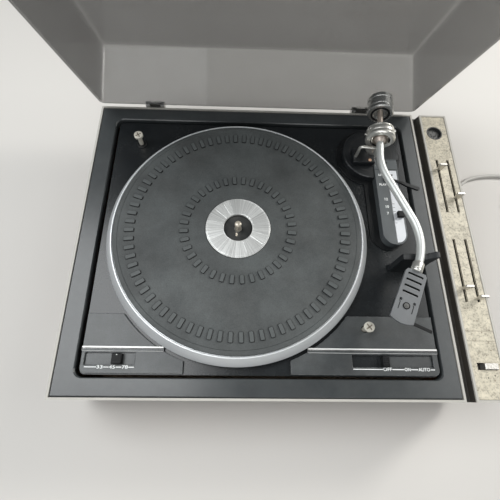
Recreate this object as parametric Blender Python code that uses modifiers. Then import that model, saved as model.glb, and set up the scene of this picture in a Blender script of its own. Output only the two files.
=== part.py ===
"""Record player with a separate control plate, an S-shaped tonearm and a raised dust cover.

Metres, +Z up. Everything is laid out about the platter's axis, with the floor at height zero and
the front towards -Y. At the end the whole model moves so that the origin lies under its middle.
"""

import math

import bmesh
import bpy
from mathutils import Matrix, Vector

# General fits
GAP = 0.0003            # between pieces that touch
OVERRUN = 0.002         # how far a cutting shape runs past the face it cuts
MERGE = 0.00001         # points closer than this are one point
SHARP_ANGLE = math.radians(32)
ROUND_STEPS = 24
CORNER_STEPS = 4

# Layout from above. The platter leads, the arm stands beside it, and the body goes round both.
PLATTER_RADIUS = 0.147
LEFT_MARGIN = 0.036         # platter's edge to the body's left side
FRONT_MARGIN = 0.031
BACK_MARGIN = 0.034
PIVOT_SPACE = 0.0175        # platter's edge to the arm's upright axis
PIVOT_SETBACK = 0.070       # that axis in from the back of the body
RIGHT_MARGIN = 0.0668       # that axis to the surround's right side
CHANNEL_WIDTH = 0.0106
CONTROL_WIDTH = 0.0357
LEFT_REACH = PLATTER_RADIUS + LEFT_MARGIN
FRONT_REACH = PLATTER_RADIUS + FRONT_MARGIN
BACK_REACH = PLATTER_RADIUS + BACK_MARGIN
PIVOT = (PLATTER_RADIUS + PIVOT_SPACE, BACK_REACH - PIVOT_SETBACK)
SURROUND_RIGHT = PIVOT[0] + RIGHT_MARGIN
CONTROL_LEFT = SURROUND_RIGHT + CHANNEL_WIDTH
CONTROL_RIGHT = CONTROL_LEFT + CONTROL_WIDTH
BODY_DEPTH = FRONT_REACH + BACK_REACH
SURROUND_WIDTH = LEFT_REACH + SURROUND_RIGHT

# Heights
BODY_HEIGHT = 0.100     # floor to the top of the surround
FOOT_HEIGHT = 0.012
BASE_THICKNESS = 0.006
SURROUND_THICKNESS = 0.0103
DECK_DROP = 0.003       # the deck lies this far below the surround
DECK_THICKNESS = 0.0025
PLATTER_LIFT = 0.020    # platter rim above the deck
ARM_LIFT = 0.044        # arm axis above the deck
BASE_TOP = FOOT_HEIGHT + GAP + BASE_THICKNESS
WALL_TOP = BODY_HEIGHT - SURROUND_THICKNESS - GAP
DECK_TOP = BODY_HEIGHT - DECK_DROP
DECK_BOTTOM = DECK_TOP - DECK_THICKNESS
PLATTER_TOP = DECK_TOP + PLATTER_LIFT
ARM_HEIGHT = DECK_TOP + ARM_LIFT

# Cabinet, base and feet
WALL_THICKNESS = 0.010
PARTITION_WIDTH = 0.0075
BASE_INSET = 0.003
FOOT_RADIUS = 0.013
FOOT_WAIST = 0.0105
FOOT_INSET = 0.034
POST_RADIUS = 0.011
POST_NECK_RADIUS = 0.005
POST_NECK_HEIGHT = 0.014
POST_INSET = 0.022      # from the deck's corners

# Surround and its silver edge
TRIM_WIDTH = 0.0023
TRIM_PROUD = 0.0002
SURROUND_BEVEL = 0.0012
BORDER_LEFT = 0.0228
BORDER_RIGHT = 0.0188
BORDER_FRONT = 0.0207
BORDER_BACK = 0.0205
WELL_CORNER = 0.009
WELL_LEFT = LEFT_REACH - BORDER_LEFT
WELL_RIGHT = SURROUND_RIGHT - BORDER_RIGHT
WELL_FRONT = FRONT_REACH - BORDER_FRONT
WELL_BACK = BACK_REACH - BORDER_BACK

# Control plate, its tray and the channel beside it
CHANNEL_DEPTH = 0.008
CONTROL_SLANT = 0.0024
CONTROL_EDGE = 0.0023
CONTROL_EDGE_HEIGHT = 0.002
CONTROL_DROP = 0.0005
CONTROL_THICKNESS = 0.0015
TRAY_WALL = 0.0045
TRAY_FLOOR = 0.002
SLOT_WIDTH = 0.0022
SLOT_LENGTH = 0.0751
SLOT_COLUMNS = (0.0114, 0.0253)     # from the control plate's left edge
REAR_SLOTS_IN = 0.1088              # their middle in from the back of the body
FRONT_SLOTS_IN = 0.1396             # their middle in from the front
SLOT_MIDDLES = (BACK_REACH - REAR_SLOTS_IN, FRONT_SLOTS_IN - FRONT_REACH)
SOCKET_COLUMN = 0.0161
SOCKET_IN = 0.029                   # from the back
SOCKET_ROW = BACK_REACH - SOCKET_IN
SOCKET_RADIUS = 0.0105
SOCKET_WALL = 0.0012
SOCKET_DEPTH = 0.0055
KNOB_TOP_WIDTH = 0.0095
KNOB_FOOT_WIDTH = 0.0052
KNOB_HEIGHT = 0.0118
KNOB_THICKNESS = 0.0032
KNOB_STEM_WIDTH = 0.0016
KNOB_BEVEL = 0.0006
KNOB_STARTS = ((0.0228, -0.0182), (-0.0226, -0.0336))   # from the middle of each pair of slots
KNOB_ROWS = [tuple(middle + start for start in starts) for middle, starts in zip(SLOT_MIDDLES, KNOB_STARTS)]
MAINS_SLOT_LEFT = 0.0081
MAINS_SLOT_WIDTH = 0.0212
MAINS_SLOT_IN = 0.0345              # from the front
MAINS_SLOT_ROW = MAINS_SLOT_IN - FRONT_REACH
MAINS_SLOT_DEPTH = 0.0071
MAINS_LEVER_WIDTH = 0.0140
MAINS_LEVER_DEPTH = 0.0065
MAINS_LEVER_PROUD = 0.0026

# Deck plate, with an open gap to the surround on each side
DECK_SPACE_LEFT = 0.0039
DECK_SPACE_RIGHT = 0.0031
DECK_SPACE_FRONT = 0.0028
DECK_SPACE_BACK = 0.0035
DECK_CORNER = 0.006
DECK_LEFT = WELL_LEFT - DECK_SPACE_LEFT
DECK_RIGHT = WELL_RIGHT - DECK_SPACE_RIGHT
DECK_FRONT = WELL_FRONT - DECK_SPACE_FRONT
DECK_BACK = WELL_BACK - DECK_SPACE_BACK

# Raised panels on the deck
PANEL_RISE = 0.003
PANEL_BEVEL = 0.0007
PANEL_ARC_SPACE = 0.0035    # between the platter and a panel's round edge
PANEL_SIDE_INSET = 0.0008
PANEL_FRONT_INSET = 0.0010
LEFT_PANEL_LENGTH = 0.1038  # measured from the deck's own side, as the strips and windows are
RIGHT_PANEL_LENGTH = 0.1531
PANEL_DEPTH = 0.061         # measured from the deck's front, as are the rows below
PANEL_CORNER = 0.0055
ARC_STEPS = 10
STRIP_IN = 0.025
STRIP_DEPTH = 0.0050
STRIP_HEIGHT = 0.0010
STRIP_BEVEL = 0.0004
LEFT_STRIP_LENGTH = 0.0832
RIGHT_STRIP_LENGTH = 0.1353
WINDOW_FRONT_IN = 0.0091
WINDOW_BACK_IN = 0.0211
LEFT_WINDOW_IN = (0.0043, 0.0548)
RIGHT_WINDOW_IN = (0.0894, 0.0054)
PANEL_ARC = PLATTER_RADIUS + PANEL_ARC_SPACE
LEFT_PANEL_END = LEFT_PANEL_LENGTH - DECK_LEFT
RIGHT_PANEL_END = DECK_RIGHT - RIGHT_PANEL_LENGTH
PANEL_BACK_ROW = PANEL_DEPTH - DECK_FRONT
STRIP_ROW = STRIP_IN - DECK_FRONT
LEFT_STRIP_END = LEFT_STRIP_LENGTH - DECK_LEFT
RIGHT_STRIP_END = DECK_RIGHT - RIGHT_STRIP_LENGTH
WINDOW_FRONT_ROW = WINDOW_FRONT_IN - DECK_FRONT
WINDOW_BACK_ROW = WINDOW_BACK_IN - DECK_FRONT
LEFT_WINDOW = [inward - DECK_LEFT for inward in LEFT_WINDOW_IN]
RIGHT_WINDOW = [DECK_RIGHT - inward for inward in RIGHT_WINDOW_IN]
LEVER_DEPTH = 0.0104
LEVER_FLOOR = 0.0009    # gap under a lever for the window's thin floor
LEVER_RISE = 0.0070
LEVER_BEVEL = 0.0009
STEM_WIDTH = 0.0028
STEM_DROP = 0.0120
SPEED_LEVER_IN = 0.0330     # from its window's left end, as the start lever's
SPEED_LEVER_WIDTH = 0.0100
SPEED_TRAVEL = (-0.0180, 0.0075)
START_LEVER_IN = 0.0338
START_LEVER_WIDTH = 0.0070
SPEED_LEVER_AT = LEFT_WINDOW[0] + SPEED_LEVER_IN
START_LEVER_AT = RIGHT_WINDOW[0] + START_LEVER_IN
START_TRAVEL = (0.0, 0.0380)

# Transit screws
SCREW_RADIUS = 0.0025
SCREW_HEAD_RADIUS = 0.0053
SCREW_HEAD_HEIGHT = 0.0024
SCREW_RISE = 0.0180
SCREW_DROP = 0.0240
SCREW_SLOT = 0.0012
SCREW_SLOT_DEPTH = 0.0012
LEFT_SCREW_IN = (0.0313, 0.0330)    # from the deck's left and back
RIGHT_SCREW_IN = (0.0734, 0.0475)   # from the deck's right and front
LEFT_SCREW = (LEFT_SCREW_IN[0] - DECK_LEFT, DECK_BACK - LEFT_SCREW_IN[1])
RIGHT_SCREW = (DECK_RIGHT - RIGHT_SCREW_IN[0], RIGHT_SCREW_IN[1] - DECK_FRONT)
GROMMET_RADIUS = 0.0063
GROMMET_HEIGHT = 0.0015

# Platter, mat and label disc
FLANK_SLOPE = 0.007     # how much wider the platter is below than at its rim
FLANK_HEIGHT = 0.0125
RIM_WALL = 0.0022
RIM_LIP = 0.0018        # width of the bright lip outside the mat
SKIRT_WALL = 0.015      # between the platter's edge and the inner wall that the idler wheel drives
WEB_THICKNESS = 0.0028
HUB_RADIUS = 0.0095
MAT_SINK = 0.0016       # depth of the platter's recess
MAT_THICKNESS = 0.0030
RIB_HEIGHT = 0.0008
OUTER_RIBS_IN = (0.0260, 0.0150)    # from the rim
INNER_RIBS_OUT = (0.0191, 0.0291)   # from the label disc
RIB_SECTORS = 144
LABEL_RADIUS = 0.0359
LABEL_HOLE = 0.01595
LABEL_BEVEL = 0.0004
SPINDLE_RADIUS = 0.0035
SPINDLE_RISE = 0.0125   # above the platter's rim
SPINDLE_TIP = 0.0016
BEARING_RADIUS = 0.0085
BEARING_FLANGE = 0.018
BEARING_FLANGE_HEIGHT = 0.0016
BEARING_DEPTH = 0.034
RIM_RADIUS = PLATTER_RADIUS - FLANK_SLOPE
DRIVE_RADIUS = PLATTER_RADIUS - SKIRT_WALL
OUTER_RIBS = [RIM_RADIUS - inward for inward in OUTER_RIBS_IN]
INNER_RIBS = [LABEL_RADIUS + outward for outward in INNER_RIBS_OUT]

# Idler drive under the platter
IDLER_RADIUS = 0.019
IDLER_THICKNESS = 0.004
IDLER_TYRE = 0.0025
IDLER_HUB = 0.0045
IDLER_LIFT = 0.0075     # wheel's lower face above the deck
IDLER_ANGLE = math.radians(235)
PULLEY_ANGLE = math.radians(100)
AXLE_RADIUS = 0.0015
PULLEY_RADIUS = 0.00424
SPEED_SHARES = (1.0, 1.352, 2.343)  # step radii for the three speeds
PULLEY_STEP = 0.0018
PULLEY_TOP_STEP = 0.0055
SHAFT_RADIUS = 0.0016
MOTOR_RADIUS = 0.032
MOTOR_HEIGHT = 0.046
MOTOR_CAP_HEIGHT = 0.007
MOTOR_HOLE = 0.0125
IDLER_ARM_WIDTH = 0.010
IDLER_ARM_LENGTH = 0.048
IDLER_ARM_ANGLE = math.radians(25)
IDLER_ARM_THICKNESS = 0.0015

# Tonearm base: plate, turret, bracket and side module
BASE_PLATE_RADIUS = 0.041
BASE_PLATE_THICKNESS = 0.0012
MARGIN_LEFT = 0.011
MARGIN_RIGHT = 0.0018
MARGIN_FRONT = 0.003
TURRET_RADIUS = 0.035
TURRET_HEIGHT = 0.011   # above the deck
TURRET_BEVEL = 0.0012
MODULE_SETOVER = 0.0018 # its left side, right of the arm's axis
MODULE_WIDTH = 0.0287
MODULE_AHEAD = 0.124    # its front end, ahead of the axis
MODULE_BEHIND = 0.034
SEAM_AHEAD = 0.009
MODULE_HEIGHT = 0.0123  # above the deck
MODULE_BEVEL = 0.0008
MODULE_PRINT_WIDTH = 0.0151
MODULE_PLATE_AHEAD = 0.0256
MODULE_PLATE_SINK = 0.0009
MODULE_PLATE_EDGE = 0.0022
MODULE_LEFT = PIVOT[0] + MODULE_SETOVER
MODULE_RIGHT = MODULE_LEFT + MODULE_WIDTH
MODULE_FRONT = PIVOT[1] - MODULE_AHEAD
MODULE_SEAM = PIVOT[1] - SEAM_AHEAD
MODULE_BACK = PIVOT[1] + MODULE_BEHIND
MODULE_SPLIT = MODULE_LEFT + MODULE_PRINT_WIDTH
MODULE_PLATE_BACK = PIVOT[1] - MODULE_PLATE_AHEAD
BRACKET_WIDTH = 0.0257
BRACKET_AHEAD = 0.019
BRACKET_BEHIND = 0.001
BRACKET_HEIGHT = 0.0077
BRACKET_BEVEL = 0.001
BRACKET_LEFT = PIVOT[0] - BRACKET_WIDTH
BRACKET_FRONT = PIVOT[1] - BRACKET_AHEAD
BRACKET_BACK = PIVOT[1] + BRACKET_BEHIND
BIAS_IN = (0.0060, 0.0370)  # from the module's right side and front end
BIAS_SIZE = 0.0078
BIAS_HEIGHT = 0.0045
BIAS_AT = (MODULE_RIGHT - BIAS_IN[0], MODULE_FRONT + BIAS_IN[1])
CUE_IN = (0.0147, 0.0290)   # from the module's left side and its seam
CUE_PIVOT = (MODULE_LEFT + CUE_IN[0], MODULE_SEAM - CUE_IN[1])
CUE_LENGTH = 0.0386
CUE_HEADING = math.radians(-21.3)
CUE_BOSS_RADIUS = 0.0040
CUE_ROOT_WIDTH = 0.0022
CUE_TIP_WIDTH = 0.0042
CUE_THICKNESS = 0.0026
CUE_BEVEL = 0.0005

# Tonearm. A heading is the angle from straight ahead, positive towards the platter.
ARM_RADIUS = 0.00425
ARM_HEADINGS = (math.radians(7.5), math.radians(-21.8), math.radians(24.9))
ARM_RUNS = (0.0401, 0.0996, 0.0384)
ARM_BENDS = (0.060, 0.067)
BEND_STEPS = 7
GIMBAL_RADIUS = 0.0168
GIMBAL_LENGTH = 0.015
GIMBAL_BORE = 0.01125
GIMBAL_RIM = 0.0028     # width of the raised rim at its front
GIMBAL_RIM_STEP = 0.0008
COLUMN_RADIUS = 0.0085
RELIEF_HALF_WIDTH = 0.0073
RELIEF_DROP = 0.003
BLOCK_RADIUS = 0.008
BLOCK_HALF_LENGTH = 0.005
CONE_REACH = 0.0103
CONE_TIP_RADIUS = 0.0046
STUB_RADIUS = 0.003
PIN_RADIUS = 0.0014
PIN_HEAD_PROUD = 0.0012
WEIGHT_RADIUS = 0.015
WEIGHT_AT = 0.0325      # its front face behind the pivot
WEIGHT_LENGTH = 0.022
WEIGHT_RECESS = 0.0085
WEIGHT_RECESS_DEPTH = 0.003
WEIGHT_BEVEL = 0.0012
WEIGHT_TRAVEL = 0.004
COLLAR_RADIUS = 0.0059
COLLAR_LENGTH = 0.012
COLLAR_BEVEL = 0.0006
SHELL_LENGTH = 0.0536
SHELL_BULGE = 0.003
SHELL_BACK_WIDTH = 0.018
SHELL_SHOULDER_WIDTH = 0.0216
SHELL_FRONT_WIDTH = 0.0232
SHELL_SHOULDER = 0.003
SHELL_THICKNESS = 0.0030
SHELL_SLOTS = (0.00485, 0.0116, 0.0183, 0.0250)
SHELL_SLOT_LENGTH = 0.0153
SHELL_SLOT_WIDTH = 0.0015
SHELL_HOLE_AT = 0.0337
SHELL_HOLE_SPACING = 0.0136
SHELL_HOLE_RADIUS = 0.0015
FINGER_AT = 0.052
FINGER_LENGTH = 0.018
FINGER_WIDTH = 0.0025
CARTRIDGE_BACK = 0.0290
CARTRIDGE_LENGTH = 0.0215
CARTRIDGE_WIDTH = 0.0160
CARTRIDGE_HEIGHT = 0.0140
CARTRIDGE_BEVEL = 0.0012
STYLUS_AT = 0.0465
STYLUS_RADIUS = 0.0016
STYLUS_TIP_RADIUS = 0.0003
RECORD_THICKNESS = 0.0020
REST_SETOVER = 0.0075   # its left side, right of the arm's axis
REST_WIDTH = 0.033
REST_AHEAD = 0.152      # its front face, ahead of the axis
REST_DEPTH = 0.007
REST_LEFT = PIVOT[0] + REST_SETOVER
REST_RIGHT = REST_LEFT + REST_WIDTH
REST_FRONT = PIVOT[1] - REST_AHEAD
REST_BACK = REST_FRONT + REST_DEPTH
REST_HORN_REACH = 0.0025
REST_HORN_RISE = 0.0075
REST_HORN_WIDTH = 0.0035
REST_FOOT_FLARE = 0.003
REST_FOOT_HEIGHT = 0.005
REST_BEVEL = 0.0008

# Lift rod under the arm tube
ROD_RADIUS = 0.0019
ROD_REST_GAP = 0.00045
ROD_LEG_FROM = (0.0220, 0.0105)     # left of the arm's axis, and ahead of it
ROD_END_FROM = (0.0035, 0.0135)     # right of the axis, and ahead of it
ROD_LEG = (PIVOT[0] - ROD_LEG_FROM[0], PIVOT[1] - ROD_LEG_FROM[1])
ROD_END = (PIVOT[0] + ROD_END_FROM[0], PIVOT[1] - ROD_END_FROM[1])
ROD_BEND = 0.004
ROD_SINK = 0.006        # into the bracket

# Dust cover
LID_WALL = 0.003
LID_HEIGHT = 0.078
LID_SEAT = 0.0005
LID_ROUNDING = 0.006
LID_ROUNDING_STEPS = 3
LID_OPEN = math.radians(70)
HINGE_SETBACK = 0.0035  # pin behind the back of the body
HINGE_RISE = 0.003      # pin above the surround
HINGE_RADIUS = 0.0031
HINGE_PIN_RADIUS = 0.0015
HINGE_WIDTH = 0.024
HINGE_CHEEK = 0.005
HINGE_DROP = 0.020
HINGE_INSET = 0.070
LUG_HALF_HEIGHT = 0.0024
LUG_BITE = 0.001

# Amplifier board and transformer
BOARD_THICKNESS = 0.0016
BOARD_LENGTH = 0.220
BOARD_HEIGHT = 0.052
BOARD_IN = 0.058        # from the front of the body
BOARD_FRONT = BOARD_IN - FRONT_REACH
CORE_SIZE = (0.052, 0.022, 0.044)
BOBBIN_SIZE = (0.030, 0.042, 0.028)
CORE_IN = (0.0613, 0.151)   # from the surround's right side and the back of the body
CORE_AT = (SURROUND_RIGHT - CORE_IN[0], BACK_REACH - CORE_IN[1])

# Mains lead. Its route is chosen by hand, in metres about the platter's axis.
CORD_RADIUS = 0.0028
CORD_FLOOR = 0.0002
GLAND_COLUMN = 0.0201   # from the control plate's left side
GLAND_HEIGHT = 0.040
GLAND_AT = (CONTROL_LEFT + GLAND_COLUMN, GLAND_HEIGHT)
GLAND_FLANGE_RADIUS = 0.009
GLAND_FLANGE_THICKNESS = 0.003
GLAND_RADIUS = 0.0062
GLAND_TIP_RADIUS = 0.0038
GLAND_LENGTH = 0.030
CORD_POINT_SPACING = 0.0135
COIL_TURNS = 8
COIL_MIDDLE_RADIUS = 0.0336
COIL_SPACE = 0.0006     # between neighbouring turns
COIL_POINTS = 24
COIL_RAMP_SHARE = 0.25  # share of a turn either side of the middle that climbs
COIL_AT = 0.464
COIL_EXIT = 0.026       # straight run from the last turn to the plug
CORD_ROUTE = (
    (0.2620, 0.2114, 0.0400),
    (0.2620, 0.2250, 0.0385),
    (0.2640, 0.2420, 0.0270),
    (0.2720, 0.2560, 0.0110),
    (0.2860, 0.2590, 0.0032),
    (0.2990, 0.2500, 0.0030),
    (0.3070, 0.2320, 0.0030),
    (0.3090, 0.2050, 0.0030),
    (0.3050, 0.1750, 0.0030),
    (0.3040, 0.1500, 0.0030),
    (0.3110, 0.1280, 0.0030),
    (0.3290, 0.1240, 0.0030),
    (0.3495, 0.1366, 0.0030),
    (0.3572, 0.1423, 0.0030),
    (0.3660, 0.1458, 0.0030),
    (0.3798, 0.1493, 0.0030),
    (0.3998, 0.1515, 0.0030),
    (0.4200, 0.1513, 0.0030),
    (0.4400, 0.1513, 0.0030),
    (0.4581, 0.1513, 0.0030),
)
PLUG_LENGTH = 0.030
PLUG_WIDTH = 0.024
PLUG_NECK_LENGTH = 0.012
PLUG_NECK_RADIUS = 0.0046
PLUG_BEVEL = 0.003
PLUG_PIN_RADIUS = 0.002
PLUG_PIN_LENGTH = 0.019
PLUG_PIN_SPACING = 0.014

# Colours: red, green, blue, roughness, metallic, opacity
FINISHES = {
    "wood": (0.23, 0.12, 0.06, 0.55, 0.0, 1.0),
    "black_plastic": (0.018, 0.018, 0.020, 0.45, 0.0, 1.0),
    "black_gloss": (0.012, 0.012, 0.014, 0.20, 0.0, 1.0),
    "grey_plastic": (0.075, 0.073, 0.076, 0.60, 0.0, 1.0),
    "deck_black": (0.030, 0.030, 0.033, 0.42, 0.0, 1.0),
    "rubber": (0.028, 0.028, 0.030, 0.80, 0.0, 1.0),
    "mat_rubber": (0.040, 0.040, 0.044, 0.75, 0.0, 1.0),
    "trim": (0.62, 0.61, 0.59, 0.30, 1.0, 1.0),
    "champagne": (0.58, 0.53, 0.45, 0.42, 0.9, 1.0),
    "chrome": (0.80, 0.80, 0.81, 0.08, 1.0, 1.0),
    "aluminium": (0.70, 0.70, 0.71, 0.28, 1.0, 1.0),
    "steel": (0.45, 0.45, 0.46, 0.38, 1.0, 1.0),
    "board": (0.10, 0.20, 0.08, 0.60, 0.0, 1.0),
    "acrylic": (0.20, 0.17, 0.14, 0.06, 0.0, 0.35),
    "cord": (0.56, 0.55, 0.52, 0.55, 0.0, 1.0),
}


def clear_scene():
    """Removes what an opened file may hold."""
    for obj in list(bpy.data.objects):
        bpy.data.objects.remove(obj, do_unlink=True)


def new_collection(name):
    collection = bpy.data.collections.new(name)
    bpy.context.scene.collection.children.link(collection)
    return collection


def new_material(name, finish):
    """Makes a Principled material for one sub-part."""
    red, green, blue, roughness, metallic, opacity = FINISHES[finish]
    material = bpy.data.materials.new(name)
    material.use_nodes = True
    shader = material.node_tree.nodes["Principled BSDF"]
    shader.inputs["Base Color"].default_value = (red, green, blue, 1)
    shader.inputs["Roughness"].default_value = roughness
    shader.inputs["Metallic"].default_value = metallic
    shader.inputs["Alpha"].default_value = opacity
    material.diffuse_color = (red, green, blue, opacity)
    return material


def add_object(name, data, finish):
    """Links a sub-part with its own material, or a cutting shape where no finish is given."""
    obj = bpy.data.objects.new(name, data)
    if finish is None:
        cutters.objects.link(obj)
        obj.hide_render = True
        obj.display_type = "WIRE"
    else:
        parts.objects.link(obj)
        data.materials.append(new_material(name, finish))
    return obj


def smooth(mesh):
    mesh.shade_smooth()
    mesh.set_sharp_from_angle(angle=SHARP_ANGLE)


def bevel(obj, width, segments=2):
    """Rounds the sharp edges of an object."""
    modifier = obj.modifiers.new("Rounded edges", "BEVEL")
    modifier.width = width
    modifier.segments = segments
    modifier.limit_method = "ANGLE"
    modifier.angle_limit = SHARP_ANGLE
    return obj


def combine(obj, tool, operation):
    modifier = obj.modifiers.new(operation.title() + " " + tool.name, "BOOLEAN")
    modifier.operation = operation
    modifier.solver = "EXACT"
    modifier.object = tool
    return obj


def cut(obj, tool):
    return combine(obj, tool, "DIFFERENCE")


def fuse(obj, tool):
    return combine(obj, tool, "UNION")


def block(name, finish, low, high):
    """Makes a box between two corners."""
    size = [high[axis] - low[axis] for axis in range(3)]
    mesh = bpy.data.meshes.new(name)
    shape = bmesh.new()
    bmesh.ops.create_cube(shape, size=1)
    bmesh.ops.scale(shape, vec=size, verts=shape.verts)
    shape.to_mesh(mesh)
    shape.free()
    obj = add_object(name, mesh, finish)
    obj.location = [(high[axis] + low[axis]) / 2 for axis in range(3)]
    return obj


def turned(name, finish, centre, profile, steps=ROUND_STEPS, ring=False):
    """Turns a profile of radius and height about the local Z axis."""
    mesh = bpy.data.meshes.new(name)
    points = [(radius, 0, height) for radius, height in profile]
    edges = [(index, index + 1) for index in range(len(points) - 1)]
    if ring:
        edges.append((len(points) - 1, 0))
    mesh.from_pydata(points, edges, [])
    obj = add_object(name, mesh, finish)
    screw = obj.modifiers.new("Turned", "SCREW")
    screw.axis = "Z"
    screw.steps = steps
    screw.render_steps = steps
    screw.use_merge_vertices = True
    screw.merge_threshold = MERGE
    screw.use_smooth_shade = True
    obj.location = centre
    return obj


def rod(name, finish, start, end, radius, steps=ROUND_STEPS):
    """Makes a plain round bar between two points."""
    run = Vector(end) - Vector(start)
    profile = [(0, run.length), (radius, run.length), (radius, 0), (0, 0)]
    obj = turned(name, finish, start, profile, steps)
    aim(obj, run)
    return obj


def aim(obj, direction):
    """Turns an object so that its local Z axis lies along a direction."""
    obj.rotation_euler = Vector(direction).to_track_quat("Z", "Y").to_euler()


def flat(name, finish, outlines, low, high):
    """Makes a plate from flat outlines, the first its edge and the others its holes."""
    curve = bpy.data.curves.new(name, "CURVE")
    curve.dimensions = "2D"
    curve.fill_mode = "BOTH"
    curve.extrude = (high - low) / 2
    for outline in outlines:
        spline = curve.splines.new("POLY")
        spline.points.add(len(outline) - 1)
        for point, (x, y) in zip(spline.points, outline):
            point.co = (x, y, 0, 1)
        spline.use_cyclic_u = True
    sketch = bpy.data.objects.new(name + " sketch", curve)
    bpy.context.scene.collection.objects.link(sketch)
    mesh = mesh_of(sketch)
    mesh.name = name
    bpy.data.objects.remove(sketch, do_unlink=True)
    obj = add_object(name, mesh, finish)
    obj.location.z = (high + low) / 2
    return obj


def mesh_of(source):
    """Turns a curve object into a closed mesh."""
    depsgraph = bpy.context.evaluated_depsgraph_get()
    mesh = bpy.data.meshes.new_from_object(source.evaluated_get(depsgraph))
    shape = bmesh.new()
    shape.from_mesh(mesh)
    bmesh.ops.remove_doubles(shape, verts=shape.verts, dist=MERGE)
    bmesh.ops.recalc_face_normals(shape, faces=shape.faces)
    shape.to_mesh(mesh)
    shape.free()
    return mesh


def stand_along_x(obj, x):
    """Stands a plate up so that its outline lies in the Y-Z plane, at a place along X."""
    obj.rotation_euler = (math.pi / 2, 0, math.pi / 2)
    obj.location = (x, 0, 0)
    return obj


def stand_along_y(obj, y):
    """Stands a plate up so that its outline lies in the X-Z plane, at a place along Y."""
    obj.rotation_euler = (math.pi / 2, 0, 0)
    obj.location = (0, y, 0)
    return obj


def wire(name, finish, points, radius, resolution=2):
    """Makes a round tube along a list of points."""
    curve = bpy.data.curves.new(name, "CURVE")
    curve.dimensions = "3D"
    curve.bevel_depth = radius
    curve.bevel_resolution = resolution
    curve.use_fill_caps = True
    spline = curve.splines.new("POLY")
    spline.points.add(len(points) - 1)
    for point, place in zip(spline.points, points):
        point.co = (*place, 1)
    return add_object(name, curve, finish)


def circle(centre, radius, steps=ROUND_STEPS):
    turns = [math.tau * step / steps for step in range(steps)]
    return [(centre[0] + radius * math.cos(turn), centre[1] + radius * math.sin(turn)) for turn in turns]


def rectangle(left, right, front, back):
    return [(left, front), (right, front), (right, back), (left, back)]


def bend(before, corner, after, radius, steps):
    """Gives the points of the arc that rounds one corner of a path."""
    before, corner, after = Vector(before), Vector(corner), Vector(after)
    inward = (before - corner).normalized()
    outward = (after - corner).normalized()
    half = inward.angle(outward) / 2
    start = corner + inward * (radius / math.tan(half))
    centre = corner + (inward + outward).normalized() * (radius / math.sin(half))
    spoke = start - centre
    across = -inward
    sweep = math.pi - 2 * half
    turns = [sweep * step / steps for step in range(steps + 1)]
    return [tuple(centre + spoke * math.cos(turn) + across * (radius * math.sin(turn))) for turn in turns]


def rounded(corners, radii, steps=CORNER_STEPS):
    """Rounds the corners of a closed outline; a radius of zero keeps the corner."""
    outline = []
    count = len(corners)
    for index, (corner, radius) in enumerate(zip(corners, radii)):
        if radius == 0:
            outline.append(corner)
        else:
            after = corners[(index + 1) % count]
            outline += bend(corners[index - 1], corner, after, radius, steps)
    return outline


def rounded_rectangle(left, right, front, back, radius, steps=CORNER_STEPS):
    return rounded(rectangle(left, right, front, back), [radius] * 4, steps)


def heading(angle):
    """Gives the flat direction of a heading."""
    return Vector((-math.sin(angle), -math.cos(angle), 0))


def make_cabinet():
    """Four walls with a partition between the deck and the control side."""
    partition = SURROUND_RIGHT + GAP
    bays = [
        rectangle(WALL_THICKNESS - LEFT_REACH, partition,
                  WALL_THICKNESS - FRONT_REACH, BACK_REACH - WALL_THICKNESS),
        rectangle(partition + PARTITION_WIDTH, CONTROL_RIGHT - WALL_THICKNESS,
                  WALL_THICKNESS - FRONT_REACH, BACK_REACH - WALL_THICKNESS),
    ]
    edge = rectangle(-LEFT_REACH, CONTROL_RIGHT, -FRONT_REACH, BACK_REACH)
    flat("cabinet", "wood", [edge] + bays, BASE_TOP + GAP, WALL_TOP)


def make_base():
    """Base board with four posts whose rubber necks carry the deck."""
    inset = BASE_INSET
    board = block("base_board", "black_plastic",
                  (inset - LEFT_REACH, inset - FRONT_REACH, FOOT_HEIGHT + GAP),
                  (CONTROL_RIGHT - inset, BACK_REACH - inset, BASE_TOP))
    neck = DECK_BOTTOM - GAP - POST_NECK_HEIGHT
    profile = [(0, DECK_BOTTOM - GAP), (POST_NECK_RADIUS, DECK_BOTTOM - GAP), (POST_NECK_RADIUS, neck),
               (POST_RADIUS, neck), (POST_RADIUS, BASE_TOP - OVERRUN), (0, BASE_TOP - OVERRUN)]
    for x in (POST_INSET - DECK_LEFT, DECK_RIGHT - POST_INSET):
        for y in (POST_INSET - DECK_FRONT, DECK_BACK - POST_INSET):
            fuse(board, turned("deck post", None, (x, y, 0), profile, ROUND_STEPS // 2))
    profile = [(0, FOOT_HEIGHT), (FOOT_RADIUS, FOOT_HEIGHT), (FOOT_WAIST, 0), (0, 0)]
    number = 1
    for x in (FOOT_INSET - LEFT_REACH, CONTROL_RIGHT - FOOT_INSET):
        for y in (FOOT_INSET - FRONT_REACH, BACK_REACH - FOOT_INSET):
            turned("foot_%d" % number, "rubber", (x, y, 0), profile)
            number += 1


def make_surround():
    """Black frame round the deck with its silver edge."""
    inset = TRIM_WIDTH + GAP
    edge = rectangle(inset - LEFT_REACH, SURROUND_RIGHT - inset, inset - FRONT_REACH, BACK_REACH - inset)
    well = rounded_rectangle(-WELL_LEFT, WELL_RIGHT, -WELL_FRONT, WELL_BACK, WELL_CORNER)
    frame = flat("surround", "black_plastic", [edge, well], WALL_TOP + GAP, BODY_HEIGHT)
    bevel(frame, SURROUND_BEVEL, 1)
    outer = rectangle(-LEFT_REACH, SURROUND_RIGHT, -FRONT_REACH, BACK_REACH)
    width = TRIM_WIDTH
    inner = rectangle(width - LEFT_REACH, SURROUND_RIGHT - width, width - FRONT_REACH, BACK_REACH - width)
    flat("surround_trim", "trim", [outer, inner], WALL_TOP + GAP, BODY_HEIGHT + TRIM_PROUD)


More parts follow.
